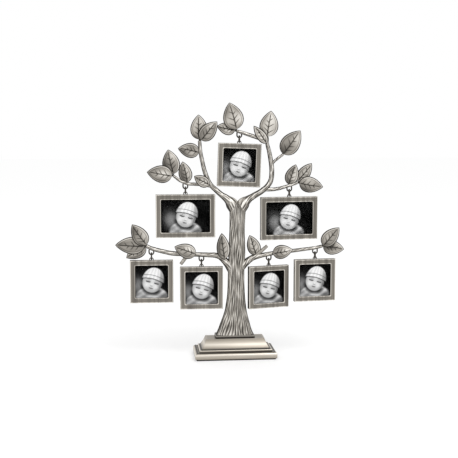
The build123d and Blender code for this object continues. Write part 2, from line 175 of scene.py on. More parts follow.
class Skin:
    """Closed surfaces that are gathered into one mesh."""

    def __init__(self) -> None:
        """Start with no points and no faces."""
        self.points: list[Array] = []
        self.tones: list[Array] = []
        self.quads: list[Array] = []
        self.triangles: list[Array] = []
        self.count = 0

    def add(self, points: Array, quads: Array, triangles: Array, tones: Array) -> None:
        """Add one closed surface and turn its faces outwards.

        The signed volume is the sum over the triangles of a . (b x c) / 6. Where it comes out negative, every
        face is turned over.

        Args:
            points: Points, one row each.
            quads: Corner numbers, four to a row.
            triangles: Corner numbers, three to a row.
            tones: One value per point, which the finish reads.
        """
        halves = np.concatenate([quads[:, [0, 1, 2]], quads[:, [0, 2, 3]], triangles])
        a, b, c = (points[halves[:, k]] for k in range(3))
        if np.einsum("ij,ij->", a, np.cross(b, c)) < 0:
            quads, triangles = quads[:, ::-1], triangles[:, ::-1]
        self.points.append(points)
        self.tones.append(tones)
        self.quads.append(quads + self.count)
        self.triangles.append(triangles + self.count)
        self.count += len(points)

    def add_rings(self, rings: Array, tones: Array, closed: bool = False) -> None:
        """Add a surface through rings of points, capped at both ends unless its rings form a loop.

        Args:
            rings: Points by ring and by place round the ring.
            tones: One value per point.
            closed: Whether the last ring joins the first.
        """
        rows, columns = rings.shape[:2]
        number = np.arange(rows * columns).reshape(rows, columns)
        beyond = np.roll(number, -1, axis=0) if closed else number[1:]
        near = number if closed else number[:-1]
        quads = np.stack([near, np.roll(near, -1, axis=1), np.roll(beyond, -1, axis=1), beyond], axis=-1)
        points, values = rings.reshape(-1, 3), tones.reshape(-1)
        triangles = np.zeros((0, 3), int)
        if not closed:
            ends = []
            for k, ring in ((0, number[0]), (1, number[-1][::-1])):
                centre = np.full(columns, rows * columns + k)
                ends.append(np.stack([centre, np.roll(ring, -1), ring], axis=-1))
            triangles = np.concatenate(ends)
            points = np.concatenate([points, rings[0].mean(0)[None], rings[-1].mean(0)[None]])
            values = np.concatenate([values, [tones[0].mean(), tones[-1].mean()]])
        self.add(points, quads.reshape(-1, 4), triangles, values)

    def add_sheet(self, front: Array, back: Array, front_tones: Array, back_tones: Array) -> None:
        """Add a closed sheet from a front grid and a back grid of the same shape, joined along their rim.

        Args:
            front: Points of the front, by row and column.
            back: Points of the back.
            front_tones: One value per front point.
            back_tones: One value per back point.
        """
        rows, columns = front.shape[:2]
        number = np.arange(rows * columns).reshape(rows, columns)
        other = number + rows * columns
        face = np.stack([number[:-1, :-1], number[:-1, 1:], number[1:, 1:], number[1:, :-1]], axis=-1)
        flip = np.stack([other[:-1, :-1], other[1:, :-1], other[1:, 1:], other[:-1, 1:]], axis=-1)
        rim = np.concatenate([number[0, :-1], number[:-1, -1], number[-1, :0:-1], number[:0:-1, 0]])
        after = np.roll(rim, -1)
        wall = np.stack([rim, rim + rows * columns, after + rows * columns, after], axis=-1)
        quads = np.concatenate([face.reshape(-1, 4), flip.reshape(-1, 4), wall])
        points = np.concatenate([front.reshape(-1, 3), back.reshape(-1, 3)])
        tones = np.concatenate([front_tones.reshape(-1), back_tones.reshape(-1)])
        self.add(points, quads, np.zeros((0, 3), int), tones)

    def piece(self, name: str, crease: float = 40.0) -> bpy.types.Object:
        """Make the mesh object.

        Args:
            name: The piece's name.
            crease: Edges that turn by more than this many degrees stay sharp.

        Returns:
            The new object, at the origin.
        """
        quads, triangles = np.concatenate(self.quads), np.concatenate(self.triangles)
        corners = np.concatenate([quads.reshape(-1), triangles.reshape(-1)]).astype(np.int32)
        starts = np.concatenate([
            np.arange(len(quads)) * 4,
            len(quads) * 4 + np.arange(len(triangles)) * 3,
        ]).astype(np.int32)
        mesh = bpy.data.meshes.new(name)
        mesh.vertices.add(self.count)
        mesh.vertices.foreach_set("co", (np.concatenate(self.points) * MM).astype(np.float32).reshape(-1))
        mesh.loops.add(len(corners))
        mesh.loops.foreach_set("vertex_index", corners)
        mesh.polygons.add(len(starts))
        mesh.polygons.foreach_set("loop_start", starts)
        mesh.update(calc_edges=True)
        tone = mesh.attributes.new("tone", "FLOAT", "POINT")
        tone.data.foreach_set("value", np.concatenate(self.tones).astype(np.float32))
        mesh.validate()
        mesh.shade_smooth()
        mesh.set_sharp_from_angle(angle=math.radians(crease))
        piece = bpy.data.objects.new(name, mesh)
        bpy.context.scene.collection.objects.link(piece)
        return piece


def place(piece: bpy.types.Object, material: bpy.types.Material, body: str, slot: str, *nodes: str) -> None:
    """Finish a piece: its material, the body that it rides on and the solids that it stands for.

    Args:
        piece: The piece.
        material: Its finish.
        body: The body's name.
        slot: The record's material slot; not used.
        nodes: The solids' names.
    """
    piece.data.materials.append(material)
    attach(piece, body)
    if nodes:
        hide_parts(*nodes)
    LOG.info("%s: %d faces, on %s", piece.name, len(piece.data.polygons), body)


# Finishes


def blank_material(name: str) -> bpy.types.Material:
    """Make a material whose node tree is still empty.

    Args:
        name: The material's name.

    Returns:
        The material.
    """
    material = bpy.data.materials.new(name)
    material.use_nodes = True
    material.node_tree.nodes.clear()
    return material


def add_node(
    tree: bpy.types.NodeTree, kind: str, settings: dict | None = None, links: dict | None = None,
) -> bpy.types.Node:
    """Add a node, set it and link its inputs.

    Args:
        tree: The node tree.
        kind: The node's type name.
        settings: Values by attribute name. A name or number in brackets, such as "[Scale]", is an input, and
            "stops" holds the place and sRGB hex colour of each stop of a ramp.
        links: Output sockets by input name or number.

    Returns:
        The node.
    """
    node = tree.nodes.new(kind)
    for key, value in (settings or {}).items():
        if key == "stops":
            elements = node.color_ramp.elements
            while len(elements) < len(value):
                elements.new(0.5)
            for element, (position, code) in zip(elements, value):
                element.position, element.color = position, linear(code)
        elif key.startswith("["):
            name = key[1:-1]
            node.inputs[int(name) if name.isdigit() else name].default_value = value
        else:
            setattr(node, key, value)
    for name, socket in (links or {}).items():
        tree.links.new(socket, node.inputs[name])
    return node


class Grain(Enum):
    """How far the fine lines are squeezed along X, Y and Z: a small number draws them out along that axis."""

    UPRIGHT = (1.0, 1.0, 0.03)
    LEVEL = (0.03, 1.0, 1.0)
    NONE = (1.0, 1.0, 1.0)


@dataclass(frozen=True)
class Pewter:
    """Cast zinc alloy with an antique pewter plating.

    Dark oxide stays in the hollows, and the raised faces are rubbed to a warm pale grey. That gives the eye
    the drawing of bark and veins, and a soft satin shine. The tone attribute that the ramp reads also holds
    painted highlights and painted shade, which the pieces lay into it.
    """

    name: str
    stops: tuple[tuple[float, str], ...]
    grain: Grain
    line_mm: float
    line_depth_mm: float
    streak: float
    rough_hollow: float
    rough_face: float
    line_detail: float = 3.0
    line_rough: float = 0.55

    def make(self) -> bpy.types.Material:
        """Build the material: the tone attribute and fine noise drive colour, roughness and bump.

        Returns:
            The material.
        """
        material = blank_material(self.name)
        tree = material.node_tree
        spot = add_node(tree, "ShaderNodeTexCoord")
        stretch = add_node(
            tree, "ShaderNodeMapping", {"[Scale]": self.grain.value}, {"Vector": spot.outputs["Object"]}
        )
        lines = add_node(
            tree, "ShaderNodeTexNoise",
            {
                "[Scale]": 1 / (self.line_mm * MM), "[Detail]": self.line_detail,
                "[Roughness]": self.line_rough,
            },
            {"Vector": stretch.outputs[0]},
        )
        tone = add_node(tree, "ShaderNodeAttribute", {"attribute_name": "tone"})
        swing = add_node(
            tree, "ShaderNodeMath", {"operation": "MULTIPLY_ADD", "[1]": self.streak, "[2]": -self.streak / 2},
            {0: lines.outputs["Fac"]},
        )
        mixed = add_node(
            tree, "ShaderNodeMath", {"operation": "ADD", "use_clamp": True},
            {0: tone.outputs["Fac"], 1: swing.outputs[0]},
        )
        ramp = add_node(tree, "ShaderNodeValToRGB", {"stops": self.stops}, {0: mixed.outputs[0]})
        rough = add_node(
            tree, "ShaderNodeMapRange", {"[3]": self.rough_hollow, "[4]": self.rough_face},
            {0: mixed.outputs[0]},
        )
        bump = add_node(
            tree, "ShaderNodeBump", {"[Strength]": 1.0, "[Distance]": self.line_depth_mm * MM},
            {"Height": lines.outputs["Fac"]},
        )
        shader = add_node(
            tree, "ShaderNodeBsdfPrincipled", {"[Metallic]": 1.0},
            {
                "Base Color": ramp.outputs["Color"], "Roughness": rough.outputs[0],
                "Normal": bump.outputs["Normal"],
            },
        )
        add_node(tree, "ShaderNodeOutputMaterial", links={"Surface": shader.outputs[0]})
        return material


@dataclass(frozen=True)
class Plain:
    """A finish whose colour wanders a little between two shades, with a fine bump."""

    name: str
    dark: str
    pale: str
    blotch_mm: float
    depth_mm: float
    metallic: float
    roughness: float
    sheen: float = 0.0
    alpha: float = 1.0
    specular: float = 0.5

    def make(self) -> bpy.types.Material:
        """Build the material from one noise of the real blotch size.

        Returns:
            The material.
        """
        material = blank_material(self.name)
        tree = material.node_tree
        spot = add_node(tree, "ShaderNodeTexCoord")
        noise = add_node(
            tree, "ShaderNodeTexNoise", {"[Scale]": 1 / (self.blotch_mm * MM), "[Detail]": 4.0},
            {"Vector": spot.outputs["Object"]},
        )
        ramp = add_node(
            tree, "ShaderNodeValToRGB", {"stops": ((0.3, self.dark), (0.7, self.pale))},
            {0: noise.outputs["Fac"]},
        )
        bump = add_node(
            tree, "ShaderNodeBump", {"[Strength]": 1.0, "[Distance]": self.depth_mm * MM},
            {"Height": noise.outputs["Fac"]},
        )
        shader = add_node(
            tree, "ShaderNodeBsdfPrincipled",
            {
                "[Metallic]": self.metallic, "[Roughness]": self.roughness, "[Sheen Weight]": self.sheen,
                "[Alpha]": self.alpha, "[Specular IOR Level]": self.specular,
            },
            {"Base Color": ramp.outputs["Color"], "Normal": bump.outputs["Normal"]},
        )
        add_node(tree, "ShaderNodeOutputMaterial", links={"Surface": shader.outputs[0]})
        return material


@dataclass(frozen=True)
class Print:
    """A black and white print on matt paper, whose greys are in the mesh's tone attribute.

    Ink sinks into the paper, so black stays black from every side and nothing shines.
    """

    name: str = "matt_print"
    stops: tuple[tuple[float, str], ...] = (
        (0.0, "040404"), (0.25, "3c3c3c"), (0.5, "7e7e7e"), (0.75, "c0c0c0"), (1.0, "fbfbfb"),
    )
    fibre_mm: float = 0.12
    fibre_depth_mm: float = 0.02
    fibre_strength: float = 0.3
    roughness: float = 0.7
    specular: float = 0.02

    def make(self) -> bpy.types.Material:
        """Build the material: the tone is the print's grey, and paper fibre gives a faint bump.

        Returns:
            The material.
        """
        material = blank_material(self.name)
        tree = material.node_tree
        tone = add_node(tree, "ShaderNodeAttribute", {"attribute_name": "tone"})
        ramp = add_node(tree, "ShaderNodeValToRGB", {"stops": self.stops}, {0: tone.outputs["Fac"]})
        spot = add_node(tree, "ShaderNodeTexCoord")
        fibre = add_node(
            tree, "ShaderNodeTexNoise", {"[Scale]": 1 / (self.fibre_mm * MM)},
            {"Vector": spot.outputs["Object"]},
        )
        bump = add_node(
            tree, "ShaderNodeBump",
            {"[Strength]": self.fibre_strength, "[Distance]": self.fibre_depth_mm * MM},
            {"Height": fibre.outputs["Fac"]},
        )
        shader = add_node(
            tree, "ShaderNodeBsdfPrincipled",
            {"[Roughness]": self.roughness, "[Specular IOR Level]": self.specular},
            {"Base Color": ramp.outputs["Color"], "Normal": bump.outputs["Normal"]},
        )
        add_node(tree, "ShaderNodeOutputMaterial", links={"Surface": shader.outputs[0]})
        return material


# Trunk, branches and leaves as they leave the mould, plated and rubbed by hand: nearly black in every groove,
# cream on the crests, with a casting grain of half a millimetre.
CAST = Pewter(
    "cast_pewter", ((0.0, "2b2926"), (0.3, "736f69"), (0.6, "aaa59d"), (1.0, "f0ece5")),
    Grain.NONE, line_mm=0.5, line_depth_mm=0.03, streak=0.16, rough_hollow=0.6, rough_face=0.34,
)
# Flat frame bars brushed from top to bottom: upright streaks, paler and darker by turns, and bright corners
# where the plating is worn thin.
BRUSHED_UPRIGHT = Pewter(
    "pewter_brushed_upright", ((0.0, "2d2b28"), (0.3, "69655f"), (0.6, "87827a"), (1.0, "e6e1d8")),
    Grain.UPRIGHT, line_mm=2.8, line_depth_mm=0.012, streak=0.8, rough_hollow=0.5, rough_face=0.3,
)
# The plinth, brushed along its mouldings: fine level lines on the palest metal of the stand.
BRUSHED_LEVEL = Pewter(
    "pewter_brushed_level", ((0.0, "3c3a36"), (0.3, "837d74"), (0.6, "b0a89c"), (1.0, "efe8dd")),
    Grain.LEVEL, line_mm=1.8, line_depth_mm=0.008, streak=0.3, rough_hollow=0.5, rough_face=0.3,
)
# Zinc alloy wire under the same plating, but left dark, because nothing rubs it.
WIRE = Plain(
    "dark_pewter_wire", "24221f", "5a564f", blotch_mm=0.8, depth_mm=0.01, metallic=1.0, roughness=0.32,
)
# Zinc-plated steel: pale and a little cloudy.
ZINC = Plain(
    "zinc_plated_steel", "a9acad", "cfd2d2", blotch_mm=1.5, depth_mm=0.005, metallic=1.0, roughness=0.3,
)
# Clear acrylic sheet with a reflection-free coat: what is behind it shows, with its blacks kept deep.
CLEAR = Plain(
    "clear_acrylic", "0b0c0c", "101111", blotch_mm=40.0, depth_mm=0.001, metallic=0.0, roughness=0.05,
    alpha=0.01, specular=0.0,
)
# Pressed board with a black paper skin: dull, with fine fibre.
BOARD = Plain("black_board", "141414", "242322", blotch_mm=0.6, depth_mm=0.03, metallic=0.0, roughness=0.75)
# Black wool felt: short fibre that catches a little light.
FELT = Plain(
    "black_felt", "0c0c0c", "1c1b1a", blotch_mm=0.3, depth_mm=0.12, metallic=0.0, roughness=0.95, sheen=0.3,
)
# Photo paper with a matt face.
PAPER = Print()


# Sizes of the stand, as the solids have them


@dataclass(frozen=True)
class Sizes:
    """Sizes that several parts of the stand share, in millimetres.

    A name in clear is the gap between two parts, one in drop says how much lower a part is than the part
    above it, and one in share is a part of another size.
    """

    felt: float = 1.0
    bead_height: float = 6.5
    step_height: float = 2.0
    slope_height: float = 10.0
    foot_width: float = 39.5
    foot_depth: float = 16.4
    foot_height: float = 3.0
    waist_share: float = 0.539
    neck_share: float = 0.39
    lean: float = 3.0
    lean_share: float = 0.42
    bough_width: float = 8.0
    bough_share: float = 0.6
    bough_rise: float = 10.0
    limb_width: float = 6.0
    twig_width: float = 3.4
    twig_rise: float = 8.0
    depth_share: float = 0.88
    stub_width: float = 3.9
    stub_end_width: float = 3.4
    square: float = 43.0
    landscape: float = 59.0
    frame_height: float = 43.0
    hanger_drop: float = 9.8
    lower_clear: float = 29.0
    inner_clear: float = 1.8
    outer_left_clear: float = 6.8
    outer_right_clear: float = 4.2
    upper_clear: float = 15.2
    side_clear: float = 14.8
    right_twig_drop: float = 3.3
    fork_drop: float = 19.7
    crown_clear: float = 15.4
    ring_clear: float = 14.0

    @property
    def plinth_top(self) -> float:
        """Height of the plinth's flat top."""
        return self.felt + self.bead_height + self.step_height + self.slope_height

    @property
    def bough_half(self) -> float:
        """Half of a lower bough's width where frames hang from it."""
        return self.bough_width * self.bough_share / 2

    @property
    def lower_level(self) -> float:
        """Height of the lower boughs."""
        return self.plinth_top + self.lower_clear + self.frame_height + self.hanger_drop + self.bough_half

    @property
    def left_level(self) -> float:
        """Height of the left middle twig."""
        frame_foot = self.lower_level + self.bough_half + self.upper_clear
        return frame_foot + self.frame_height + self.hanger_drop + self.twig_width / 2

    @property
    def right_level(self) -> float:
        """Height of the right middle twig."""
        return self.left_level - self.right_twig_drop

    @property
    def fork_level(self) -> float:
        """Height of the fork."""
        return self.left_level - self.fork_drop

    @property
    def crown_level(self) -> float:
        """Height of the twig that carries the top frame."""
        return self.fork_level + self.crown_clear + self.frame_height + self.hanger_drop + self.twig_width / 2

    @property
    def ring_half(self) -> float:
        """Half the width of the open ring round the top frame."""
        return self.square / 2 + self.ring_clear

    @property
    def inner_reach(self) -> float:
        """From the trunk's middle line to the middle of an inner frame."""
        return self.foot_width * self.waist_share / 2 + self.inner_clear + self.square / 2

    @property
    def lower_middle(self) -> float:
        """X of the trunk's middle between the lower frames."""
        return self.lean * self.lean_share / 2

    @property
    def outer_left(self) -> float:
        """X of the outer left frame."""
        return self.lower_middle - self.inner_reach - self.square - self.outer_left_clear

    @property
    def outer_right(self) -> float:
        """X of the outer right frame."""
        return self.lower_middle + self.inner_reach + self.square + self.outer_right_clear

    @property
    def upper_reach(self) -> float:
        """From the trunk's middle to the middle of an upper frame."""
        return self.foot_width * self.neck_share / 2 + self.side_clear + self.landscape / 2


SIZES = Sizes()


def smooth(rows: Rows, steps: int) -> Array:
    """Run a curve through every row: half of 2b + (c-a)t + (2a-5b+4c-d)t^2 + (3b-a-3c+d)t^3 between b and c.

    Args:
        rows: Points of the curve, each with as many values as wanted.
        steps: Stations between two rows.

    Returns:
        The stations, one row each.
    """
    known = np.array(rows, float)
    padded = np.concatenate([known[:1], known, known[-1:]])
    a, b, c, d = (padded[k : k + len(known) - 1][:, None, :] for k in range(4))
    t = (np.arange(steps) / steps)[None, :, None]
    curve = (2 * b + (c - a) * t + (2 * a - 5 * b + 4 * c - d) * t**2 + (3 * b - a - 3 * c + d) * t**3) / 2
    return np.concatenate([curve.reshape(-1, known.shape[1]), known[-1:]])


class Bark(Enum):
    """How the grooves run on a branch: how many lanes they drift round it in a millimetre."""

    LENGTHWISE = 0.035
    SLANTED = 0.13


@dataclass
class Branch:
    """One branch: its route in the plane Y = 0 and its bark.

    Each row of shares is a point of the route: X as a share of across, height over level as a share of rise,
    and width as a share of width. A name that ends in mm is a length on the surface. Tones run from 0, black
    oxide, to 1, bare metal; a rub is added to them, and painted highlights and painted shade are added or taken
    off.
    """

    name: str
    shares: Rows
    across: float
    level: float
    rise: float
    width: float
    bark: Bark = Bark.SLANTED
    seed: float = 1.0
    lane_mm: float = 1.6
    stroke_mm: float = 11.0
    groove_mm: float = 0.34
    groove_share: float = 0.14
    wander: float = 0.3
    wander_mm: float = 4.7
    fine_share: float = 0.6
    fine_strength: float = 0.35
    pale_share: float = 0.8
    root_swell: float = 0.0
    root_web: float = 0.0
    root_heel: float = 0.0
    root_mm: float = 9.5
    root_spread: float = 0.8
    heel_place: float = 0.85
    heel_spread: float = 0.58
    flank_shade_tone: float = 0.08
    face_tone: float = 0.52
    upper_highlight: float = 0.4
    highlight_middle: float = 0.35
    highlight_spread: float = 0.3
    under_shade: float = 0.15
    streak_rub: float = 0.4
    crotch_highlight: float = 0.3
    patchiness: float = 0.16
    patch_mm: float = 3.5
    patches_round: float = 1.5
    around: int = 96
    rounded: int = 8

    def stations(self, steps: int = 2) -> Array:
        """X, Z and width along the branch, with the given steps between two rows."""
        return smooth(
            [(u * self.across, self.level + v * self.rise, w * self.width) for u, v, w in self.shares], steps
        )

    def spot(self, share: float) -> tuple[float, float, float]:
        """Find a place on the branch, on the same stations that the solids have.

        Args:
            share: Share of the stations from the root.

        Returns:
            X, Z and width there.
        """
        known = self.stations()
        along = share * (len(known) - 1)
        i = min(int(along), len(known) - 2)
        return tuple(known[i] + (along - i) * (known[i + 1] - known[i]))

    def engrave(self, q: Array, s: Array, girth: float) -> tuple[Array, Array]:
        """Strokes of the bark.

        Args:
            q: Angle round the branch.
            s: Length along it.
            girth: The mean way round it.

        Returns:
            The dark cuts, with fine ones between them, and the pale streaks, both from 0 to 1.
        """
        lanes = round(girth / self.lane_mm)
        lane = q / FULL_TURN * lanes + self.bark.value * s
        lane = lane + self.wander * np.sin(s / self.wander_mm + self.seed)
        cut = strokes(lane, s, lanes, self.stroke_mm, self.seed, 0.17)
        fine = strokes(2 * lane + 0.3, s, 2 * lanes, self.stroke_mm * self.fine_share, self.seed + 20, 0.16)
        pale = strokes(lane + 0.5, s, lanes, self.stroke_mm * self.pale_share, self.seed + 10, 0.18)
        return np.maximum(cut, self.fine_strength * fine), pale

    def taper(self, count: int) -> Array:
        """How the branch closes: a quarter ellipse at its tip, and at its root where that isn't in the trunk.

        Args:
            count: How many rings the branch has.

        Returns:
            A factor of the width for each ring.
        """
        rounding = np.sqrt(np.clip(1 - np.linspace(1, 0, self.rounded) ** 2, 0.02, 1))
        factors = np.ones(count)
        factors[-self.rounded :] = rounding[::-1]
        if not self.root_swell:
            factors[: self.rounded] = rounding
        return factors[:, None]

    def tones(self, q: Array, s: Array, upness: Array, crotch: Array, cut: Array, pale: Array) -> Array:
        """Tone of the bark: oxide and rubbing, with painted light and shade.

        It is pale on the streaks between the strokes and dark in the strokes. A painted highlight runs along
        the upper front and in the web of the fork, and painted shade darkens the flanks and the underside.

        Args:
            q: Angle round the branch.
            s: Length along it.
            upness: How far the surface faces up, from -1 to 1.
            crotch: How far it lies in the web of the fork, from 0 to 1.
            cut: The dark strokes.
            pale: The pale streaks.

        Returns:
            The tones, from 0 to 1.
        """
        # Painted shade: the flanks are dark, except in the web of the fork.
        facing = step_between(0.5, 0.9, np.abs(np.sin(q)))
        facing = np.maximum(facing, crotch * step_between(0.5, 0.0, np.sin(q)))
        mottle = drift(s / self.patch_mm + 9, q * self.patches_round, self.seed + 5) - 0.5
        # Painted highlight along the upper face, and painted shade on the underside.
        body = self.face_tone + self.upper_highlight * bell(upness - self.highlight_middle, self.highlight_spread)
        body = body - self.under_shade * step_between(0.0, 0.7, -upness)
        # Pale streaks are rubbed wear and the patches random; the web of the fork gets a painted highlight.
        body = body + self.streak_rub * pale + self.crotch_highlight * crotch + self.patchiness * mottle
        return np.clip(self.flank_shade_tone + facing * body * (1 - cut**0.8), 0, 1)

    def build(self, skin: Skin) -> None:
        """Add the branch to a skin.

        The surface is the route plus r(s, q) times the unit ellipse at angle q, where s is the length along
        the route. r is the half width less the depth of the bark's strokes. At the root, bells in s deepen the
        ellipse to the trunk's own face, web it towards the branch on the other side of the fork, and set a
        heel on its outer side that runs into the trunk's flank.

        Args:
            skin: The skin to add to.
        """
        line = smooth([tuple(row) for row in self.stations(6)], 4)
        x, z, width = line[:, 0], line[:, 1], line[:, 2]
        heading = np.stack([np.gradient(x), np.gradient(z)], axis=-1)
        heading /= np.linalg.norm(heading, axis=1)[:, None]
        length = np.concatenate([[0.0], np.cumsum(np.hypot(np.diff(x), np.diff(z)))])
        q, s = np.meshgrid(FULL_TURN * np.arange(self.around) / self.around, length)
        half = width[:, None] / 2
        cut, pale = self.engrave(q, s, math.pi * float(width.mean()) * 0.94)
        depth = np.minimum(self.groove_mm, self.groove_share * half)
        root = bell(length - self.root_mm, self.root_mm * self.root_spread)[:, None]
        heel = bell(length - self.heel_place * self.root_mm, self.heel_spread * self.root_mm)[:, None]
        toward = np.cos(q) * np.sign(self.root_web)
        web = 1 + abs(self.root_web) * root**2 * np.clip(toward, 0, 1) ** 1.5
        web = web + self.root_heel * heel * np.clip(-toward, 0, 1) ** 1.5
        radius = (half - depth * cut) * self.taper(len(length)) * web
        deep = SIZES.depth_share * (1 + self.root_swell * root) / web
        side, front = np.cos(q) * radius, np.sin(q) * radius * deep
        rings = np.stack([
            x[:, None] + heading[:, 1:] * side,
            front,
            z[:, None] - heading[:, :1] * side,
        ], axis=-1)
        upness = np.cos(q) * np.where(heading[:, :1] > 0, -1.0, 1.0)
        crotch = root * np.clip(toward, 0, 1)
        skin.add_rings(rings, self.tones(q, s, upness, crotch, cut, pale))


@dataclass(frozen=True)
class Stub:
    """A twig stub on a bough, cut off square. Its root and its tip are shares, as in the bough's rows."""

    root: tuple[float, float]
    tip: tuple[float, float]
    lanes: int = 8
    stroke_mm: float = 6.0
    groove_mm: float = 0.26
    end_round: tuple[float, ...] = (0.94, 0.86, 0.6)
    flank_shade_tone: float = 0.14
    lit_face_tone: float = 0.5
    end_rub: float = 0.5
    around: int = 48
    steps: int = 28

    def build(self, skin: Skin, bough: Branch) -> None:
        """Add the stub to a skin: a grooved cone with a flat, pale end.

        Args:
            skin: The skin to add to.
            bough: The bough that it grows from.
        """
        start, end = (
            np.array((u * bough.across, bough.level + v * bough.rise)) for u, v in (self.root, self.tip)
        )
        share = np.concatenate([np.linspace(0, 1, self.steps), [1.0, 1.0]])
        shrink = np.concatenate([np.ones(self.steps - 1), self.end_round])
        q, t = np.meshgrid(FULL_TURN * np.arange(self.around) / self.around, share)
        run = end - start
        length = float(np.hypot(*run))
        heading = run / length
        lane = q / FULL_TURN * self.lanes + 0.2 * np.sin(t * length / 2.5 + bough.seed)
        cut = strokes(lane, t * length, self.lanes, self.stroke_mm, bough.seed)
        half = (SIZES.stub_width + (SIZES.stub_end_width - SIZES.stub_width) * t) / 2
        radius = (half - self.groove_mm * cut) * shrink[:, None]
        side, front = np.cos(q) * radius, np.sin(q) * radius * SIZES.depth_share
        rings = np.stack([
            start[0] + run[0] * t + heading[1] * side,
            front,
            start[1] + run[1] * t - heading[0] * side,
        ], axis=-1)
        # Painted shade: the flanks are dark and the front and back faces paler; the cut end is pale.
        facing = step_between(0.2, 0.7, np.abs(np.sin(q)))
        on_side = t < 0.98
        tone = self.flank_shade_tone + facing * self.lit_face_tone * (1 - 0.8 * cut) * on_side + self.end_rub * ~on_side
        skin.add_rings(rings, np.clip(tone, 0, 1))


LEFT_BOUGH = Branch("left_lower_bough", [
    (0.030, -1.77, 1.00), (0.094, -0.86, 0.96), (0.192, -0.16, 0.74), (0.333, -0.02, 0.60), (0.484, 0.04, 0.58),
    (0.731, 0.16, 0.58), (0.870, 0.40, 0.56), (1.000, 0.71, 0.52), (1.066, 1.00, 0.46),
], SIZES.outer_left, SIZES.lower_level, SIZES.bough_rise, SIZES.bough_width, seed=1.3, root_swell=0.45)
RIGHT_BOUGH = Branch("right_lower_bough", [
    (0.050, -1.61, 1.02), (0.135, -0.90, 0.91), (0.214, -0.41, 0.77), (0.312, -0.18, 0.64),
    (0.423, -0.01, 0.55), (0.570, 0.17, 0.52), (0.735, 0.30, 0.48), (0.873, 0.43, 0.45), (1.000, 0.56, 0.42),
    (1.104, 0.76, 0.38),
], SIZES.outer_right, SIZES.lower_level, SIZES.bough_rise, SIZES.bough_width, seed=2.9, root_swell=0.45)
LEFT_LIMB = Branch("left_limb", [
    (-0.005, -0.160, 1.15), (-0.115, -0.020, 1.38), (-0.235, 0.055, 1.20), (-0.380, 0.112, 0.95),
    (-0.547, 0.187, 0.85), (-0.697, 0.268, 0.80), (-0.825, 0.420, 0.74), (-0.90, 0.570, 0.70),
    (-0.955, 0.715, 0.65), (-0.975, 0.845, 0.60), (-0.98, 0.875, 0.54),
], SIZES.ring_half, SIZES.fork_level, SIZES.crown_level - SIZES.fork_level, SIZES.limb_width,
    Bark.LENGTHWISE, seed=0.4, root_swell=0.4, root_web=0.8, root_heel=0.27)
RIGHT_LIMB = Branch("right_limb", [
    (0.175, -0.160, 1.15), (0.275, -0.030, 1.38), (0.385, 0.036, 1.22), (0.545, 0.090, 1.04),
    (0.750, 0.151, 0.94), (0.905, 0.215, 0.90), (1.020, 0.305, 0.86), (1.050, 0.415, 0.83),
    (1.035, 0.540, 0.80), (0.975, 0.710, 0.72), (0.915, 0.835, 0.62), (0.92, 0.930, 0.52),
], SIZES.ring_half, SIZES.fork_level, SIZES.crown_level - SIZES.fork_level, SIZES.limb_width,
    Bark.LENGTHWISE, seed=2.2, root_swell=0.4, root_web=-0.8, root_heel=0.24)
UPPER_TWIG = Branch("right_upper_twig", [
    (1.030, 0.530, 0.88), (1.085, 0.564, 0.84), (1.210, 0.619, 0.80), (1.380, 0.684, 0.72),
], SIZES.ring_half, SIZES.fork_level, SIZES.crown_level - SIZES.fork_level, SIZES.twig_width,
    seed=4.1, around=72)
TOP_TWIG = Branch("top_twig", [
    (0.907, -1.24, 1.20), (0.732, -0.87, 1.20), (0.566, -0.62, 1.16), (0.315, -0.25, 1.06), (0.130, 0.00, 0.95),
    (0.040, 0.11, 0.85),
], SIZES.ring_half, SIZES.crown_level, SIZES.twig_rise, SIZES.twig_width, seed=5.2, around=72)
LEFT_TWIG = Branch("left_middle_twig", [
    (0.427, -0.46, 1.15), (0.665, -0.24, 1.00), (0.825, -0.18, 0.97), (0.953, -0.11, 0.95), (1.096, 0.23, 0.90),
    (1.222, 0.79, 0.80), (1.240, 0.91, 0.75),
], SIZES.lean - SIZES.upper_reach, SIZES.left_level, SIZES.twig_rise, SIZES.twig_width, seed=6.6, around=72)
RIGHT_TWIG = Branch("right_middle_twig", [
    (0.480, -0.42, 1.20), (0.636, -0.49, 1.15), (0.797, -0.39, 1.05), (0.944, -0.11, 0.95), (1.076, 0.16, 0.90),
    (1.165, 0.39, 0.80),
], SIZES.lean + SIZES.upper_reach, SIZES.right_level, SIZES.twig_rise, SIZES.twig_width, seed=7.7, around=72)


@dataclass
class Boughs:
    """All the branches, with the two cut stubs of the lower boughs."""

    branches: tuple[Branch, ...] = (
        LEFT_BOUGH, RIGHT_BOUGH, LEFT_LIMB, RIGHT_LIMB, UPPER_TWIG, TOP_TWIG, LEFT_TWIG, RIGHT_TWIG,
    )
    stubs: tuple[tuple[Branch, Stub], ...] = (
        (LEFT_BOUGH, Stub((0.560, 0.05), (0.651, -0.93))),
        (RIGHT_BOUGH, Stub((0.225, -0.45), (0.405, 0.83))),
    )

    def build(self, metal: bpy.types.Material) -> None:
        """Make one piece for each branch.

        Args:
            metal: The cast finish.
        """
        for branch in self.branches:
            skin = Skin()
            branch.build(skin)
            for bough, stub in self.stubs:
                if bough is branch:
                    stub.build(skin, bough)
            place(skin.piece(branch.name + "_bark", 60.0), metal, "tree", "cast_metal", branch.name)


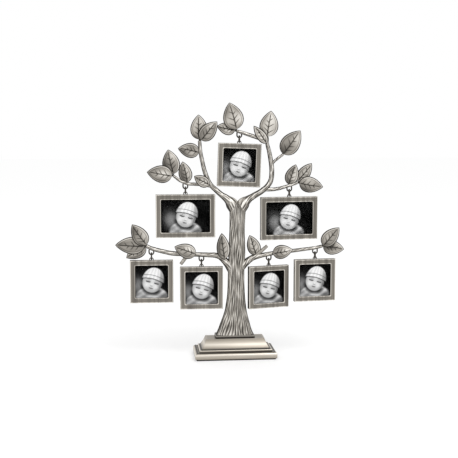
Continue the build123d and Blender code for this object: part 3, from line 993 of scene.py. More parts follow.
def rounded_rectangle(width: float, height: float, radius: float, steps: int = 6) -> Array:
    """Points of a rectangle with quarter-circle corners.

    Args:
        width: Its width.
        height: Its height.
        radius: Radius of the corners.
        steps: Points on each corner, less one.

    Returns:
        The points, one row each, in order.
    """
    quarter = np.linspace(0, math.pi / 2, steps + 1)
    parts = []
    for k, (sx, sy) in enumerate(((1, 1), (-1, 1), (-1, -1), (1, -1))):
        angle = quarter + k * math.pi / 2
        centre = np.array([sx * (width / 2 - radius), sy * (height / 2 - radius)])
        parts.append(centre + radius * np.stack([np.cos(angle), np.sin(angle)], axis=-1))
    return np.concatenate(parts)


def level_ring(width: float, depth: float, corner: float, steps: int, z: float) -> Array:
    """A level rounded rectangle about the upright middle line.

    Args:
        width: Its size along X.
        depth: Its size along Y.
        corner: Radius of its corners.
        steps: Points on each corner, less one.
        z: Its height.

    Returns:
        The points, one row each, in order.
    """
    outline = rounded_rectangle(width, depth, corner, steps)
    return np.concatenate([outline, np.full((len(outline), 1), z)], axis=1)


@dataclass
class Plinth:
    """The cast plinth, brushed along its length.

    A row of the ledge between bead and step, and the seam between step and slope, hold how far the ring is
    wider than what stands on it, how far it is sunk, and its tone, which is painted shade. A row of the top has
    its inset and tone.
    """

    width: float = 82.0
    depth: float = 42.0
    step_width: float = 73.0
    step_depth: float = 32.0
    slope_width: float = 69.0
    slope_depth: float = 28.5
    top_width: float = 58.5
    top_depth: float = 18.0
    corner: float = 0.5
    foot_round: float = 1.2
    bead_round: float = 3.0
    step_round: float = 0.8
    hollow: float = 0.08
    ledge: Rows = field(default_factory=lambda: [(2.2, 0.01, 0.4), (0.9, 0.02, 0.12), (0.0, 0.0, 0.05)])
    slope_seam: tuple[float, float, float] = (0.5, 0.01, 0.1)
    top_rows: Rows = field(default_factory=lambda: [(1.2, 0.5), (4.0, 0.38)])

    def shoulder(self, width: float, depth: float, radius: float, top: float, tones: Array) -> Rows:
        """Rings of a quarter round from the upright side to the level top, one for each tone.

        Args:
            width: Width under the round.
            depth: Depth under the round.
            radius: Its radius.
            top: Height where it ends.
            tones: The rings' tones.

        Returns:
            Width, depth, height and tone of each ring.
        """
        rows: Rows = []
        for turn, tone in zip(np.linspace(0, math.pi / 2, len(tones)), tones):
            inset, drop = radius * (1 - math.cos(turn)), radius * (1 - math.sin(turn))
            rows.append((width - 2 * inset, depth - 2 * inset, top - drop, tone))
        return rows

    def profile(self) -> Rows:
        """The moulding from bottom to top.

        The bead is two quarter circles, the step a small round, and the slope runs in a shallow hollow. The
        tones
        are painted light and shade: painted highlights on the bead, the step and the slope's middle, and
        painted shade under the foot round, on the bead's top under the step and in each inner corner.

        Returns:
            Width, depth, height and tone of each ring.
        """
        bead_top = SIZES.felt + SIZES.bead_height
        step_top = bead_top + SIZES.step_height
        rows: Rows = []
        # Painted shade: the foot round darkens towards the floor.
        for turn in np.linspace(0, math.pi / 2, 6):
            inset, lift = self.foot_round * (1 - math.sin(turn)), self.foot_round * (1 - math.cos(turn))
            rows.append((self.width - 2 * inset, self.depth - 2 * inset, SIZES.felt + lift, 0.1 + 0.3 * turn))
        # Painted highlight low on the bead, and painted shade over its top, under the step.
        turn = np.linspace(0, math.pi / 2, 14)
        bead_tones = 0.64 + 0.28 * bell(turn - 0.35, 0.25) - 0.6 * np.clip(4 * (turn - 0.9), 0, 1)
        rows += self.shoulder(self.width, self.depth, self.bead_round, bead_top, bead_tones)
        # Painted shadow of the step on the ledge, darkest in the corner.
        for wider, sunk, tone in self.ledge:
            rows.append((self.step_width + wider, self.step_depth + wider, bead_top - sunk, tone))
        # Painted highlight across the step's round.
        step_tones = 0.5 + 0.4 * np.sin(np.linspace(0, math.pi, 7))
        rows += self.shoulder(self.step_width, self.step_depth, self.step_round, step_top, step_tones)
        # Painted shade in the corner between step and slope.
        wider, sunk, tone = self.slope_seam
        rows.append((self.slope_width + wider, self.slope_depth + wider, step_top - sunk, tone))
        # Painted highlight across the slope's middle, and painted shade at its foot.
        for share in np.linspace(0, 1, 22):
            run = share + self.hollow * math.sin(math.pi * share)
            rows.append((
                self.slope_width - (self.slope_width - self.top_width) * run,
                self.slope_depth - (self.slope_depth - self.top_depth) * run,
                step_top + share * SIZES.slope_height,
                0.42 + 0.34 * bell(share - 0.5, 0.25) - 0.5 * bell(share, 0.12),
            ))
        for inset, tone in self.top_rows:
            rows.append((self.top_width - inset, self.top_depth - inset, SIZES.plinth_top, tone))
        return rows

    def build(self, metal: bpy.types.Material) -> None:
        """Make the plinth: each ring is a rectangle of the profile's width and depth, with small corners.

        Args:
            metal: The brushed finish.
        """
        rings, tones = [], []
        for width, depth, z, tone in self.profile():
            rings.append(level_ring(width, depth, self.corner, 4, z))
            tones.append(np.full(len(rings[0]), tone))
        skin = Skin()
        skin.add_rings(np.array(rings), np.array(tones))
        place(skin.piece("plinth_moulding", 35.0), metal, "tree", "cast_metal", "base_plinth")


@dataclass
class Trunk:
    """The trunk with its bark, standing on its foot plate.

    A row holds a share of the trunk's height, and there the shares of its lean, of the foot's width and of the
    foot's depth. A row of the plate holds its inset, how far it is below the plate's top, and its tone. A
    wander says by how many lanes the bark sways, over how many millimetres up, and how often on its way round.
    """

    rows: Rows = field(default_factory=lambda: [
        (0.022, 0.05, 0.960, 0.96), (0.060, 0.10, 0.850, 0.92), (0.103, 0.18, 0.755, 0.87),
        (0.160, 0.30, 0.630, 0.80), (0.218, 0.42, 0.539, 0.75), (0.334, 0.50, 0.446, 0.68),
        (0.486, 0.52, 0.418, 0.65), (0.635, 0.77, 0.425, 0.65), (0.789, 0.83, 0.390, 0.62),
        (0.895, 0.95, 0.397, 0.61), (0.930, 1.00, 0.402, 0.60), (0.965, 0.95, 0.310, 0.54),
        (0.998, 0.90, 0.110, 0.40),
    ])
    # The plate's tones are painted: painted shadow low on its side and where the trunk stands on it, and a
    # painted highlight along its upper edge.
    plate: Rows = field(default_factory=lambda: [
        (0.3, 3.0, 0.02), (0.0, 2.7, 0.04), (0.0, 1.5, 0.06), (0.0, 1.4, 0.32), (0.15, 0.35, 0.4),
        (0.5, 0.1, 0.3), (1.2, 0.0, 0.05),
    ])
    plate_corner: float = 0.5
    around: int = 288
    steps: int = 26
    squareness: float = 0.62
    groove_mm: float = 0.5
    section: tuple[float, float] = (1.8, 1.0)
    section_points: int = 4001
    upright_lanes: int = 25
    upright_stroke: float = 24.0
    flare_lanes: int = 37
    flare_stroke: float = 20.0
    flare_top: float = 0.21
    fine_share: float = 0.5
    fine_strength: float = 0.35
    pale_share: float = 0.8
    wanders: tuple[tuple[float, float, int], ...] = ((0.3, 14.0, 2), (0.14, 5.0, 5))
    groove_tone: float = 0.03
    flank_light_share: float = 0.15
    face_tone: float = 0.53
    streak_rub: float = 0.45
    patchiness: float = 0.16

    def bark(self, share: Array, height: Array) -> tuple[Array, Array]:
        """Strokes of the bark: dark cuts and the pale streaks between them.

        Each lane is a share of the way round, so the strokes fan out where the trunk flares. A second, closer
        ruling takes over there, to keep the strokes about as fine as they are above.

        Args:
            share: Place round the trunk, from 0 to 1.
            height: Height over the plinth.

        Returns:
            The cuts and the streaks, both from 0 to 1.
        """
        wander = sum(
            sway * np.sin(height / rise + FULL_TURN * times * share) for sway, rise, times in self.wanders
        )
        risen = height / (SIZES.fork_level - SIZES.plinth_top)
        flare = step_between(1.5 * self.flare_top, 0.5 * self.flare_top, risen)
        cuts, streaks = [], []
        rulings = ((self.upright_lanes, self.upright_stroke, 3.0), (self.flare_lanes, self.flare_stroke, 9.0))
        for lanes, length, seed in rulings:
            lane = share * lanes + wander * lanes / self.upright_lanes
            cut = strokes(lane, height, lanes, length, seed, 0.16)
            fine = strokes(2 * lane + 0.4, height, 2 * lanes, self.fine_share * length, seed + 1, 0.15)
            cuts.append(np.maximum(cut, self.fine_strength * fine))
            streaks.append(strokes(lane + 0.5, height, lanes, self.pale_share * length, seed + 2, 0.16))
        return cuts[0] + (cuts[1] - cuts[0]) * flare, streaks[0] + (streaks[1] - streaks[0]) * flare

    def section_wave(self) -> tuple[Array, Array]:
        """The section: a superellipse, |cos q|^k by |sin q|^k, with points at equal lengths round it.

        Returns:
            Its X and Y on a half width of one, one row each.
        """
        fine = FULL_TURN * np.linspace(0, 1, self.section_points)
        c, s = (np.sign(wave) * np.abs(wave) ** self.squareness for wave in (np.cos(fine), np.sin(fine)))
        walk = np.hypot(np.diff(c) * self.section[0], np.diff(s) * self.section[1])
        way = np.concatenate([[0.0], np.cumsum(walk)]) / walk.sum()
        share = np.arange(self.around) / self.around
        return np.interp(share, way, c)[None, :], np.interp(share, way, s)[None, :]

    def add_bark(self, skin: Skin) -> None:
        """Add the trunk itself.

        The bark's strokes cut inwards. They are dark, with pale streaks between, and painted shade makes the
        flanks darker than the front.

        Args:
            skin: The skin to add to.
        """
        line = smooth(self.rows, self.steps)
        z = SIZES.plinth_top + line[:, 0] * (SIZES.fork_level - SIZES.plinth_top)
        c, s = self.section_wave()
        share, height = np.meshgrid(np.arange(self.around) / self.around, z - z[0])
        across, deep = line[:, 2:3] * SIZES.foot_width / 2, line[:, 3:4] * SIZES.foot_depth / 2
        cut, streak = self.bark(share, height)
        depth = self.groove_mm * cut * step_between(0.0, 5.0, height + 1.5)
        rings = np.stack([
            line[:, 1:2] * SIZES.lean + c * (across - depth),
            s * (deep - depth),
            height + z[0],
        ], axis=-1)
        # Painted shade: the flanks fall to a small share of the front's tone.
        facing = step_between(0.05, 0.6, np.abs(s)) * step_between(1.0, 0.9, np.abs(c))
        patch = drift(height / 16 + 3, share * 9, 6.0) - 0.5
        body = self.face_tone + self.streak_rub * streak + self.patchiness * patch
        lit = self.flank_light_share + (1 - self.flank_light_share) * facing
        tone = self.groove_tone + lit * body * (1 - (1 - self.groove_tone) * cut**0.8)
        skin.add_rings(rings, np.clip(tone, 0, 1))

    def build(self, metal: bpy.types.Material) -> None:
        """Make the trunk and its foot plate.

        Args:
            metal: The cast finish.
        """
        skin = Skin()
        self.add_bark(skin)
        top = SIZES.plinth_top + SIZES.foot_height
        rings = np.array([
            level_ring(
                SIZES.foot_width - 2 * inset, SIZES.foot_depth - 2 * inset, self.plate_corner, 3, top - drop
            )
            for inset, drop, _ in self.plate
        ])
        tones = np.array([tone for _, _, tone in self.plate])
        skin.add_rings(rings, np.repeat(tones[:, None], rings.shape[1], axis=1))
        place(skin.piece("trunk_bark", 60.0), metal, "tree", "cast_metal", "trunk")


class Side(Enum):
    """Where a leaf grows from its branch."""

    FRONT = "front"
    MIDDLE = "side"
    BACK = "back"


@dataclass(frozen=True)
class Relief:
    """What stands out on a leaf's face, what is cut into it, and painted shade at its rim: each 0 to 1 at every
    point.
    """

    swell: Array
    dome: Array
    midrib: Array
    veins: Array
    gutter: Array
    lip: Array
    rim_shade: Array


@dataclass
class Leaf:
    """One domed leaf with an engraved midrib and side veins.

    It grows from a share of its branch, in the direction of an angle from +X. Its length is a share of the
    longest leaf's, its width a share of its own length, and it leans to the front by a share of its length.
    A side vein has a share of the blade where it starts, and a share of the half width where it ends.
    """

    host: Branch
    share: float
    angle: float
    length_share: float
    width_share: float
    side: Side
    lean: float
    rub_and_light: float
    seed: float = 0.0
    longest: float = 28.0
    rim: float = 0.8
    dome: float = 0.13
    petiole: float = 0.06
    petiole_width: float = 1.7
    clear: float = 0.25
    least: float = 0.3
    midrib_bend: float = 0.5
    midrib_width: float = 0.6
    midrib_depth: float = 0.42
    side_veins: tuple[tuple[float, float], ...] = ((0.15, 0.72), (0.35, 0.66), (0.57, 0.5))
    vein_width: float = 0.5
    vein_depth: float = 0.32
    gutter_inset: float = 2.3
    gutter_width: float = 0.45
    gutter_depth: float = 0.14
    lip_inset: float = 1.4
    lip_width: float = 0.42
    lip_tone: float = 0.95
    pillow_height: float = 0.16
    pillow_turn: float = 0.62
    right_highlight: float = 0.3
    upper_highlight: float = 0.14
    dome_rub: float = 0.2
    patchiness: float = 0.6
    line_dark: float = 0.97
    gutter_dark: float = 0.4
    back_tone: float = 0.42
    back_patchiness: float = 0.4
    rows: int = 96
    columns: int = 65

    @property
    def length(self) -> float:
        """Its length from root to tip."""
        return self.length_share * self.longest

    @property
    def width(self) -> float:
        """Its width where it is widest."""
        return self.width_share * self.length

    @property
    def heading(self) -> tuple[float, float]:
        """X and Z of the direction from root to tip."""
        return math.cos(math.radians(self.angle)), math.sin(math.radians(self.angle))

    def half_width(self, s: Array, t: Array) -> Array:
        """Half width of the leaf: W 2.56 t^0.55 (1-t)^0.85, but no less than the stalk near the root.

        Args:
            s: Share of the leaf, from its root.
            t: Share of the blade.

        Returns:
            The half width at each point.
        """
        blade = 2.557 * t**0.55 * (1 - t) ** 0.85
        stalk = self.petiole_width / 2 * (1 - step_between(self.petiole * 1.6, self.petiole * 3.5, s))
        return np.maximum(np.maximum(self.width / 2 * blade, stalk), 0.02 * self.width * (s < 1))

    def veins(self, t: Array, v: Array, half: Array) -> tuple[Array, Array]:
        """Where the veins are: bells across the bending midrib and across lines that leave it at a slant.

        Args:
            t: Share of the blade, from its root.
            v: Place across it, from -1 to 1.
            half: Its half width there.

        Returns:
            The midrib and the side veins, both from 0 to 1.
        """
        edge = np.abs(v)
        off_rib = v * half - self.midrib_bend * np.sin(math.pi * t + self.seed)
        midrib = bell(off_rib, self.midrib_width - 0.22 * t)
        midrib = midrib * step_between(0.0, 0.1, t) * step_between(0.92, 0.82, t)
        veins = np.zeros_like(t)
        for k, (root, far) in enumerate(self.side_veins):
            shift = 0.05 * np.sign(v) * math.sin(3 * self.seed + k)
            off = (t - root - shift) * self.length * (1 - self.petiole) - 0.9 * np.abs(off_rib) ** 0.9
            vein = bell(off, self.vein_width * (1 - 0.5 * edge)) * step_between(far, 0.4 * far, edge)
            veins = np.maximum(veins, vein)
        return midrib, veins

    def relief(self, t: Array, v: Array, half: Array) -> Relief:
        """Lay out the face: a dome that falls off as 1 - |v|^2.4, the veins, and the lines along the edge.

        From the edge inwards come a line of painted shade at the rim, the raised lip and a shallow gutter.

        Args:
            t: Share of the blade, from its root.
            v: Place across it, from -1 to 1.
            half: Its half width there.

        Returns:
            The relief.
        """
        edge = np.abs(v)
        swell = np.clip(half / (self.width / 2), 0, 1)
        dome = swell**0.8 * (1 - edge**2.4)
        midrib, veins = self.veins(t, v, half)
        inside = (1 - edge) * half
        gutter = bell(inside - self.gutter_inset, self.gutter_width) * step_between(0.05, 0.2, t)
        lip = bell(inside - self.lip_inset, self.lip_width) * step_between(0.03, 0.2, t)
        # The last cover is a line of painted shade along the very edge.
        return Relief(swell, dome, midrib, veins, gutter, lip, step_between(1.1, 0.55, inside))

    def height(self, relief: Relief, t: Array, v: Array) -> Array:
        """How far the face stands out from the back: the rim, the dome and soft pillows, less what is cut in.

        Args:
            relief: The face's relief.
            t: Share of the blade, from its root.
            v: Place across it, from -1 to 1.

        Returns:
            The height at each point.
        """
        edge = np.abs(v)
        pillow = np.cos((t - 0.27) * self.length * self.pillow_turn) * step_between(0.0, 0.4, edge) * (1 - edge)
        carve = self.midrib_depth * relief.midrib + self.vein_depth * relief.veins
        carve = carve + self.gutter_depth * relief.gutter
        out = self.rim + self.dome * self.width / 2 * relief.dome + self.pillow_height * pillow * relief.swell
        return np.maximum(out - carve * step_between(0.0, 0.6, relief.swell), self.least)

    def tones(self, relief: Relief, t: Array, v: Array, mottle: Array) -> Array:
        """Tone of the face: a painted highlight right and above, a paler dome, a bright lip and dark lines.

        Args:
            relief: The face's relief.
            t: Share of the blade, from its root.
            v: Place across it, from -1 to 1.
            mottle: Smooth noise, from -0.5 to 0.5.

        Returns:
            The tones, from 0 to 1.
        """
        # Painted highlight: the face is paler towards the right and the top, as if lit from the upper right.
        right = (t - 0.5) * self.heading[0] * 1.3 + v * self.heading[1] * 0.7
        up = (t - 0.5) * self.heading[1] * 1.3 - v * self.heading[0] * 0.7
        # Each leaf's base tone is partly rubbed wear and partly painted light, paler where the leaf faces the
        # light.
        tone = self.rub_and_light + self.right_highlight * right + self.upper_highlight * up
        tone = tone + self.patchiness * mottle + self.dome_rub * (relief.dome - 0.6)
        tone = tone * (0.84 + 0.16 * step_between(0.0, 0.3, t))
        tone = tone * (1 - relief.midrib) * (1 - self.line_dark * relief.veins)
        tone = tone * (1 - self.gutter_dark * relief.gutter)
        # The raised lip is pale, with a painted highlight where it faces right and up.
        tone = tone + relief.lip * (self.lip_tone - tone) * (0.55 + 0.4 * np.clip(right + up, -1, 1))
        # Painted shade: a dark line along the very edge.
        return np.clip(tone * (1 - self.line_dark * relief.rim_shade), 0, 1)

    def seats(self, host_width: float, thickness: float) -> tuple[float, float]:
        """Where the leaf's back is: beside its branch, in line with it or behind it.

        Args:
            host_width: Width of the branch where the leaf grows.
            thickness: The leaf's thickness with its dome.

        Returns:
            Y of the back at the leaf's root, and past its stalk.
        """
        half_depth = host_width * SIZES.depth_share / 2
        return {
            Side.FRONT: (self.rim / 2, -half_depth - self.clear),
            Side.MIDDLE: (thickness / 2, thickness / 2),
            Side.BACK: (self.rim, half_depth + self.clear + thickness),
        }[self.side]

    def build(self, skin: Skin) -> None:
        """Add the leaf to a skin.

        Along the leaf, s runs from 0 at its root to 1 at its tip, and t is the same over the blade alone.
        Across it, v runs from -1 to 1. The face stands out by its relief, and the back is flat.

        Args:
            skin: The skin to add to.
        """
        x0, z0, host_width = self.host.spot(self.share)
        s = (1 - np.cos(np.linspace(0, math.pi, self.rows))) / 2
        v = np.sin(np.linspace(-1, 1, self.columns) * math.pi / 2)
        v, s = np.meshgrid(v, s)
        t = np.clip((s - self.petiole) / (1 - self.petiole), 0, 1)
        half = self.half_width(s, t)
        relief = self.relief(t, v, half)
        start, seat = self.seats(host_width, self.rim + self.dome * self.width / 2)
        back = start + (seat - start) * step_between(0.0, self.petiole, s) - self.lean * self.length * t
        x = x0 + self.heading[0] * s * self.length + self.heading[1] * v * half
        z = z0 + self.heading[1] * s * self.length - self.heading[0] * v * half
        front_points = np.stack([x, back - self.height(relief, t, v), z], axis=-1)
        back_points = np.stack([x, back, z], axis=-1)
        mottle = drift(v * 1.4 + 5 * self.seed, s * 2.6, self.seed) - 0.5
        skin.add_sheet(
            front_points, back_points, self.tones(relief, t, v, mottle),
            self.back_tone + self.back_patchiness * mottle,
        )


@dataclass
class Leaves:
    """The 24 leaves in the seven groups that the solids have."""

    seed_step: float = 1.7
    crease: float = 50.0

    def groups(self) -> dict[str, list[Leaf]]:
        """Each group's leaves: branch, place on it, direction, length, width, side, lean, and rub and painted
        light.

        Returns:
            The leaves by the name of their group's solid.
        """
        front, middle, back = Side.FRONT, Side.MIDDLE, Side.BACK
        return {
            "crown_left_leaves": [
                Leaf(LEFT_LIMB, 0.97, 48.0, 0.91, 0.61, front, 0.07, 0.54),
                Leaf(LEFT_LIMB, 0.97, 92.0, 0.92, 0.67, middle, 0.00, 0.62),
                Leaf(LEFT_LIMB, 0.80, 171.0, 0.80, 0.66, middle, 0.02, 0.53),
            ],
            "crown_top_leaves": [
                Leaf(TOP_TWIG, 0.97, 105.0, 1.02, 0.71, front, 0.05, 0.62),
                Leaf(TOP_TWIG, 0.99, 166.0, 0.70, 0.64, middle, -0.04, 0.58),
            ],
            "crown_right_leaves": [
                Leaf(RIGHT_LIMB, 0.98, 82.0, 0.96, 0.70, middle, 0.02, 0.9),
                Leaf(RIGHT_LIMB, 0.90, 128.0, 0.82, 0.43, front, 0.05, 0.74),
                Leaf(UPPER_TWIG, 0.90, 53.0, 1.09, 0.63, middle, 0.03, 0.56),
            ],
            "left_middle_leaves": [
                Leaf(LEFT_TWIG, 0.94, 101.0, 0.93, 0.67, middle, -0.03, 0.58),
                Leaf(LEFT_TWIG, 0.94, 172.0, 0.94, 0.66, front, 0.05, 0.54),
                Leaf(LEFT_TWIG, 0.50, 103.0, 0.80, 0.60, middle, 0.02, 0.57),
                Leaf(LEFT_TWIG, 0.06, 148.0, 0.66, 0.62, front, 0.05, 0.56),
            ],
            "right_middle_leaves": [
                Leaf(RIGHT_TWIG, 0.66, 71.0, 0.80, 0.60, middle, 0.02, 0.54),
                Leaf(RIGHT_TWIG, 0.96, 53.0, 0.86, 0.53, middle, -0.04, 0.64),
                Leaf(RIGHT_TWIG, 0.97, -10.0, 0.91, 0.63, front, 0.05, 0.58),
            ],
            "left_lower_leaves": [
                Leaf(LEFT_BOUGH, 0.97, 123.0, 0.94, 0.60, front, 0.05, 0.44),
                Leaf(LEFT_BOUGH, 0.98, 178.0, 1.10, 0.57, middle, 0.00, 0.58),
                Leaf(LEFT_BOUGH, 0.97, 211.0, 0.85, 0.60, back, -0.04, 0.6),
                Leaf(LEFT_BOUGH, 0.48, 159.0, 0.85, 0.63, front, 0.03, 0.62),
                Leaf(LEFT_BOUGH, 0.17, 96.0, 1.00, 0.48, front, 0.06, 0.57),
            ],
            "right_lower_leaves": [
                Leaf(RIGHT_BOUGH, 0.30, 110.0, 0.81, 0.60, middle, -0.03, 0.6),
                Leaf(RIGHT_BOUGH, 0.47, 11.0, 0.77, 0.66, front, 0.03, 0.68),
                Leaf(RIGHT_BOUGH, 0.97, 48.0, 0.92, 0.60, front, 0.06, 0.56),
                Leaf(RIGHT_BOUGH, 0.98, -9.0, 0.82, 0.65, middle, 0.00, 0.46),
            ],
        }

    def build(self, metal: bpy.types.Material) -> None:
        """Make one piece for each group of leaves.

        Args:
            metal: The cast finish.
        """
        number = 0
        for name, leaves in self.groups().items():
            skin = Skin()
            for leaf in leaves:
                number += 1
                leaf.seed = number * self.seed_step
                leaf.build(skin)
            place(skin.piece(name + "_veined", self.crease), metal, "tree", "cast_metal", name)


def wire_rings(path: Array, radius: float, closed: bool, around: int = 20) -> tuple[Array, Array]:
    """Round wire along a flat path.

    At each point the ring lies across the path: one axis is the path's plane normal, and the other is square
    to it and to the heading. The tone is a painted highlight: palest where the wire faces the front, and a
    little paler above.

    Args:
        path: Points of the path, one row each.
        radius: The wire's radius.
        closed: Whether the path is a loop.
        around: Points round the wire.

    Returns:
        The rings and their tones.
    """
    if closed:
        heading = np.roll(path, -1, axis=0) - np.roll(path, 1, axis=0)
    else:
        heading = np.gradient(path, axis=0)
    heading /= np.linalg.norm(heading, axis=1)[:, None]
    flat = np.cross(path[len(path) // 3] - path[0], path[2 * len(path) // 3] - path[0])
    flat /= np.linalg.norm(flat)
    across = np.cross(heading, flat)
    turn = FULL_TURN * np.arange(around) / around
    ring = np.cos(turn)[None, :, None] * across[:, None] + np.sin(turn)[None, :, None] * flat
    rings = path[:, None] + radius * ring
    # Painted highlight towards the front and a little towards the top.
    return rings, 0.42 + 0.4 * np.clip(-ring[..., 1] + 0.3 * ring[..., 2], -0.6, 1)


def arch(half: float, foot: float, top: float, steps: int = 20) -> Array:
    """A U-shaped path upside down: two straight legs at plus and minus half, and a half circle between.

    Args:
        half: Half the distance between the legs.
        foot: Height of the legs' feet.
        top: Height of the bend's highest point.
        steps: Points on the bend.

    Returns:
        Points as X and Z, one row each.
    """
    turn = np.linspace(math.pi, 0, steps)
    bend = np.stack([half * np.cos(turn), top - half + half * np.sin(turn)], axis=-1)
    leg = np.linspace(0, 1, 6, endpoint=False)[:, None]
    left = np.array([[-half, foot]]) * (1 - leg) + bend[:1] * leg
    right = left[::-1] * np.array([[-1, 1]])
    return np.concatenate([left, bend, right])


def disc(
    x: Array, z: Array, middle: tuple[float, float], radii: tuple[float, float], turn: float, soft: float,
) -> Array:
    """Cover of a turned ellipse with a soft edge.

    Args:
        x: Across, at each point.
        z: Up, at each point.
        middle: Its middle.
        radii: Its two radii.
        turn: How far it is turned, in degrees.
        soft: Half the width of its edge, as a share of its radii.

    Returns:
        Cover at each point, from 0 to 1.
    """
    u, w = turned(x - middle[0], z - middle[1], turn)
    return step_between(1 + soft, 1 - soft, np.hypot(u / radii[0], w / radii[1]))


class Greys:
    """A grey picture that shapes are laid into, one over the other."""

    def __init__(self, grey: Array) -> None:
        """Start with a ground."""
        self.grey = grey

    def lay(self, value: Array | float, cover: Array) -> None:
        """Mix a grey in where the cover is."""
        self.grey = self.grey + (value - self.grey) * cover


@dataclass
class Portrait:
    """A black and white print: a sleeping child in a plain pale cap, with a soft blanket, on a dark ground.

    It is drawn by formula, on textbook proportions. Places in it are in units of half a square window.
    """

    width: float
    height: float
    unit: float
    head_middle: tuple[float, float] = (0.07, 0.04)
    head_tilt: float = -16.0
    head_scale: float = 1.12
    eye: tuple[float, float] = (0.235, -0.06)
    lid_height: float = -0.115
    brow_height: float = 0.06
    cheek: tuple[float, float] = (0.27, -0.3)
    nostril: tuple[float, float] = (0.035, -0.285)
    nose_height: float = -0.235
    lip_height: float = -0.425
    brim_height: float = 0.13
    skin_grey: float = 0.88
    knit_grey: float = 1.02
    blanket_grey: float = 0.8
    highlight: float = 0.97
    shadow: float = 0.1
    lash_grey: float = 0.05
    lip_grey: float = 0.4
    pitch: float = 0.3

    def ground(self, x: Array, z: Array) -> Greys:
        """Draw the dark ground with a soft pale patch, and the folds of the blanket in front of it.

        Args:
            x: Across, from the middle to the right.
            z: Up, from the middle.

        Returns:
            The picture so far.
        """
        patch = disc(x, z, (-0.88, -0.25), (0.42, 0.5), 20, 0.9)
        greys = Greys(0.04 * drift(x * 2.2 + 4, z * 2.2 + 9, 3.0) + 0.5 * patch)
        folds = 0.17 * np.cos(7 * (z + 0.55 * x) + 1.2 * np.sin(3 * x)) + 0.07 * np.cos(16 * (z - 0.7 * x))
        blanket = disc(x, z, (0.0, -1.0), (1.0, 0.68), 0, 0.09)
        greys.lay(self.blanket_grey + folds - 0.25 * step_between(0.35, 1.0, x), blanket)
        return greys

    def face(self, greys: Greys, u: Array, w: Array) -> Array:
        """Draw the head with its shadow, closed eyes, brows, cheeks, nose and mouth.

        Args:
            greys: The picture.
            u: Across the head, from its middle.
            w: Up the head, from its middle.

        Returns:
            Cover of the head.
        """
        head = step_between(1.05, 0.95, np.hypot(u / (0.54 - 0.05 * w), (w + 0.04) / 0.62))
        under_chin = step_between(1.35, 1.0, np.hypot(u / 0.56, (w + 0.06) / 0.64))
        greys.lay(self.shadow, 0.8 * under_chin * step_between(-0.2, -0.5, w))
        lit = self.skin_grey - 0.5 * step_between(0.18, 0.6, u) - 0.2 * step_between(-0.3, -0.58, u)
        greys.lay(lit - 0.16 * step_between(-0.3, -0.62, w), head)
        for sign in (-1, 1):
            off = u - sign * self.eye[0]
            socket = bell(np.hypot(off, 1.6 * (w - self.eye[1])), 0.13)
            lashes = bell(w - self.lid_height - 1.1 * off**2, 0.024)
            brow = bell(w - self.brow_height + 0.8 * off**2, 0.03)
            cheek = bell(np.hypot(u - sign * self.cheek[0], w - self.cheek[1]), 0.11)
            nostril = bell(np.hypot(u - sign * self.nostril[0], w - self.nostril[1]), 0.02)
            greys.lay(0.5, 0.55 * head * socket)
            greys.lay(self.lash_grey, 0.95 * lashes * step_between(0.15, 0.1, np.abs(off)))
            greys.lay(0.4, 0.4 * brow * step_between(0.16, 0.08, np.abs(off)))
            greys.lay(self.highlight, 0.5 * cheek)
            greys.lay(0.25, 0.6 * nostril)
        mouth = bell(w - self.lip_height - 0.6 * u**2, 0.016)
        greys.lay(self.highlight, 0.6 * bell(np.hypot(1.6 * u, w - self.nose_height), 0.07))
        greys.lay(0.42, 0.5 * bell(w - self.nose_height + 0.07 + 2 * u**2, 0.02) * bell(u, 0.07))
        greys.lay(self.lip_grey, 0.5 * bell(np.hypot(0.6 * u, w - self.lip_height + 0.01), 0.05))
        greys.lay(0.16, 0.8 * mouth * step_between(0.13, 0.08, np.abs(u)))
        return head

    def cap(self, greys: Greys, u: Array, w: Array, head: Array) -> None:
        """Draw the ribbed cap, its turned-up brim and the brim's shadow on the head.

        Args:
            greys: The picture.
            u: Across the head, from its middle.
            w: Up the head, from its middle.
            head: Cover of the head.
        """
        brim = w - self.brim_height + 0.3 * u**2
        cap = step_between(1.04, 0.96, np.hypot(u / 0.61, (w + 0.02) / 0.76))
        cap = cap * step_between(-0.015, 0.015, brim)
        rib = 0.5 + 0.5 * np.cos(34 * u / (1.1 - 0.8 * np.clip(w, 0, 1) ** 2))
        knit = self.knit_grey - 0.5 * step_between(0.1, 0.62, u) - 0.2 * step_between(-0.3, -0.6, u)
        greys.lay(knit - 0.1 * rib, cap)
        greys.lay(0.3, 0.7 * cap * bell(brim - 0.17, 0.018))
        greys.lay(0.15, 0.7 * head * bell(brim + 0.025, 0.03) * (brim < 0))

    def tones(self, x: Array, z: Array) -> Array:
        """Grey of the print at each point.

        Args:
            x: Across, from the middle to the right.
            z: Up, from the middle.

        Returns:
            Greys from 0 to 1.
        """
        greys = self.ground(x, z)
        u, w = turned(x - self.head_middle[0], z - self.head_middle[1], self.head_tilt)
        u, w = u / self.head_scale, w / self.head_scale
        head = self.face(greys, u, w)
        self.cap(greys, u, w, head)
        return np.clip(greys.grey, 0, 1)

    def build(self, skin: Skin, front: float, back: float, matrix: Matrix) -> None:
        """Add the print as a thin closed sheet.

        Args:
            skin: The skin to add to.
            front: Y of its printed face, in the frame's own place.
            back: Y of its back.
            matrix: Where the frame hangs.
        """
        x = np.linspace(-self.width / 2, self.width / 2, round(self.width / self.pitch) + 1)
        z = np.linspace(-self.height / 2, self.height / 2, round(self.height / self.pitch) + 1)
        x, z = np.meshgrid(x, z)
        faces = [moved(np.stack([x, np.full(x.shape, y), z], axis=-1), matrix) for y in (front, back)]
        skin.add_sheet(*faces, self.tones(x / self.unit, z / self.unit), np.full(x.shape, 0.96))


def moved(points: Array, matrix: Matrix) -> Array:
    """Points after a rigid motion."""
    turn = np.array(matrix.to_3x3())
    return points @ turn.T + np.array(matrix.translation)


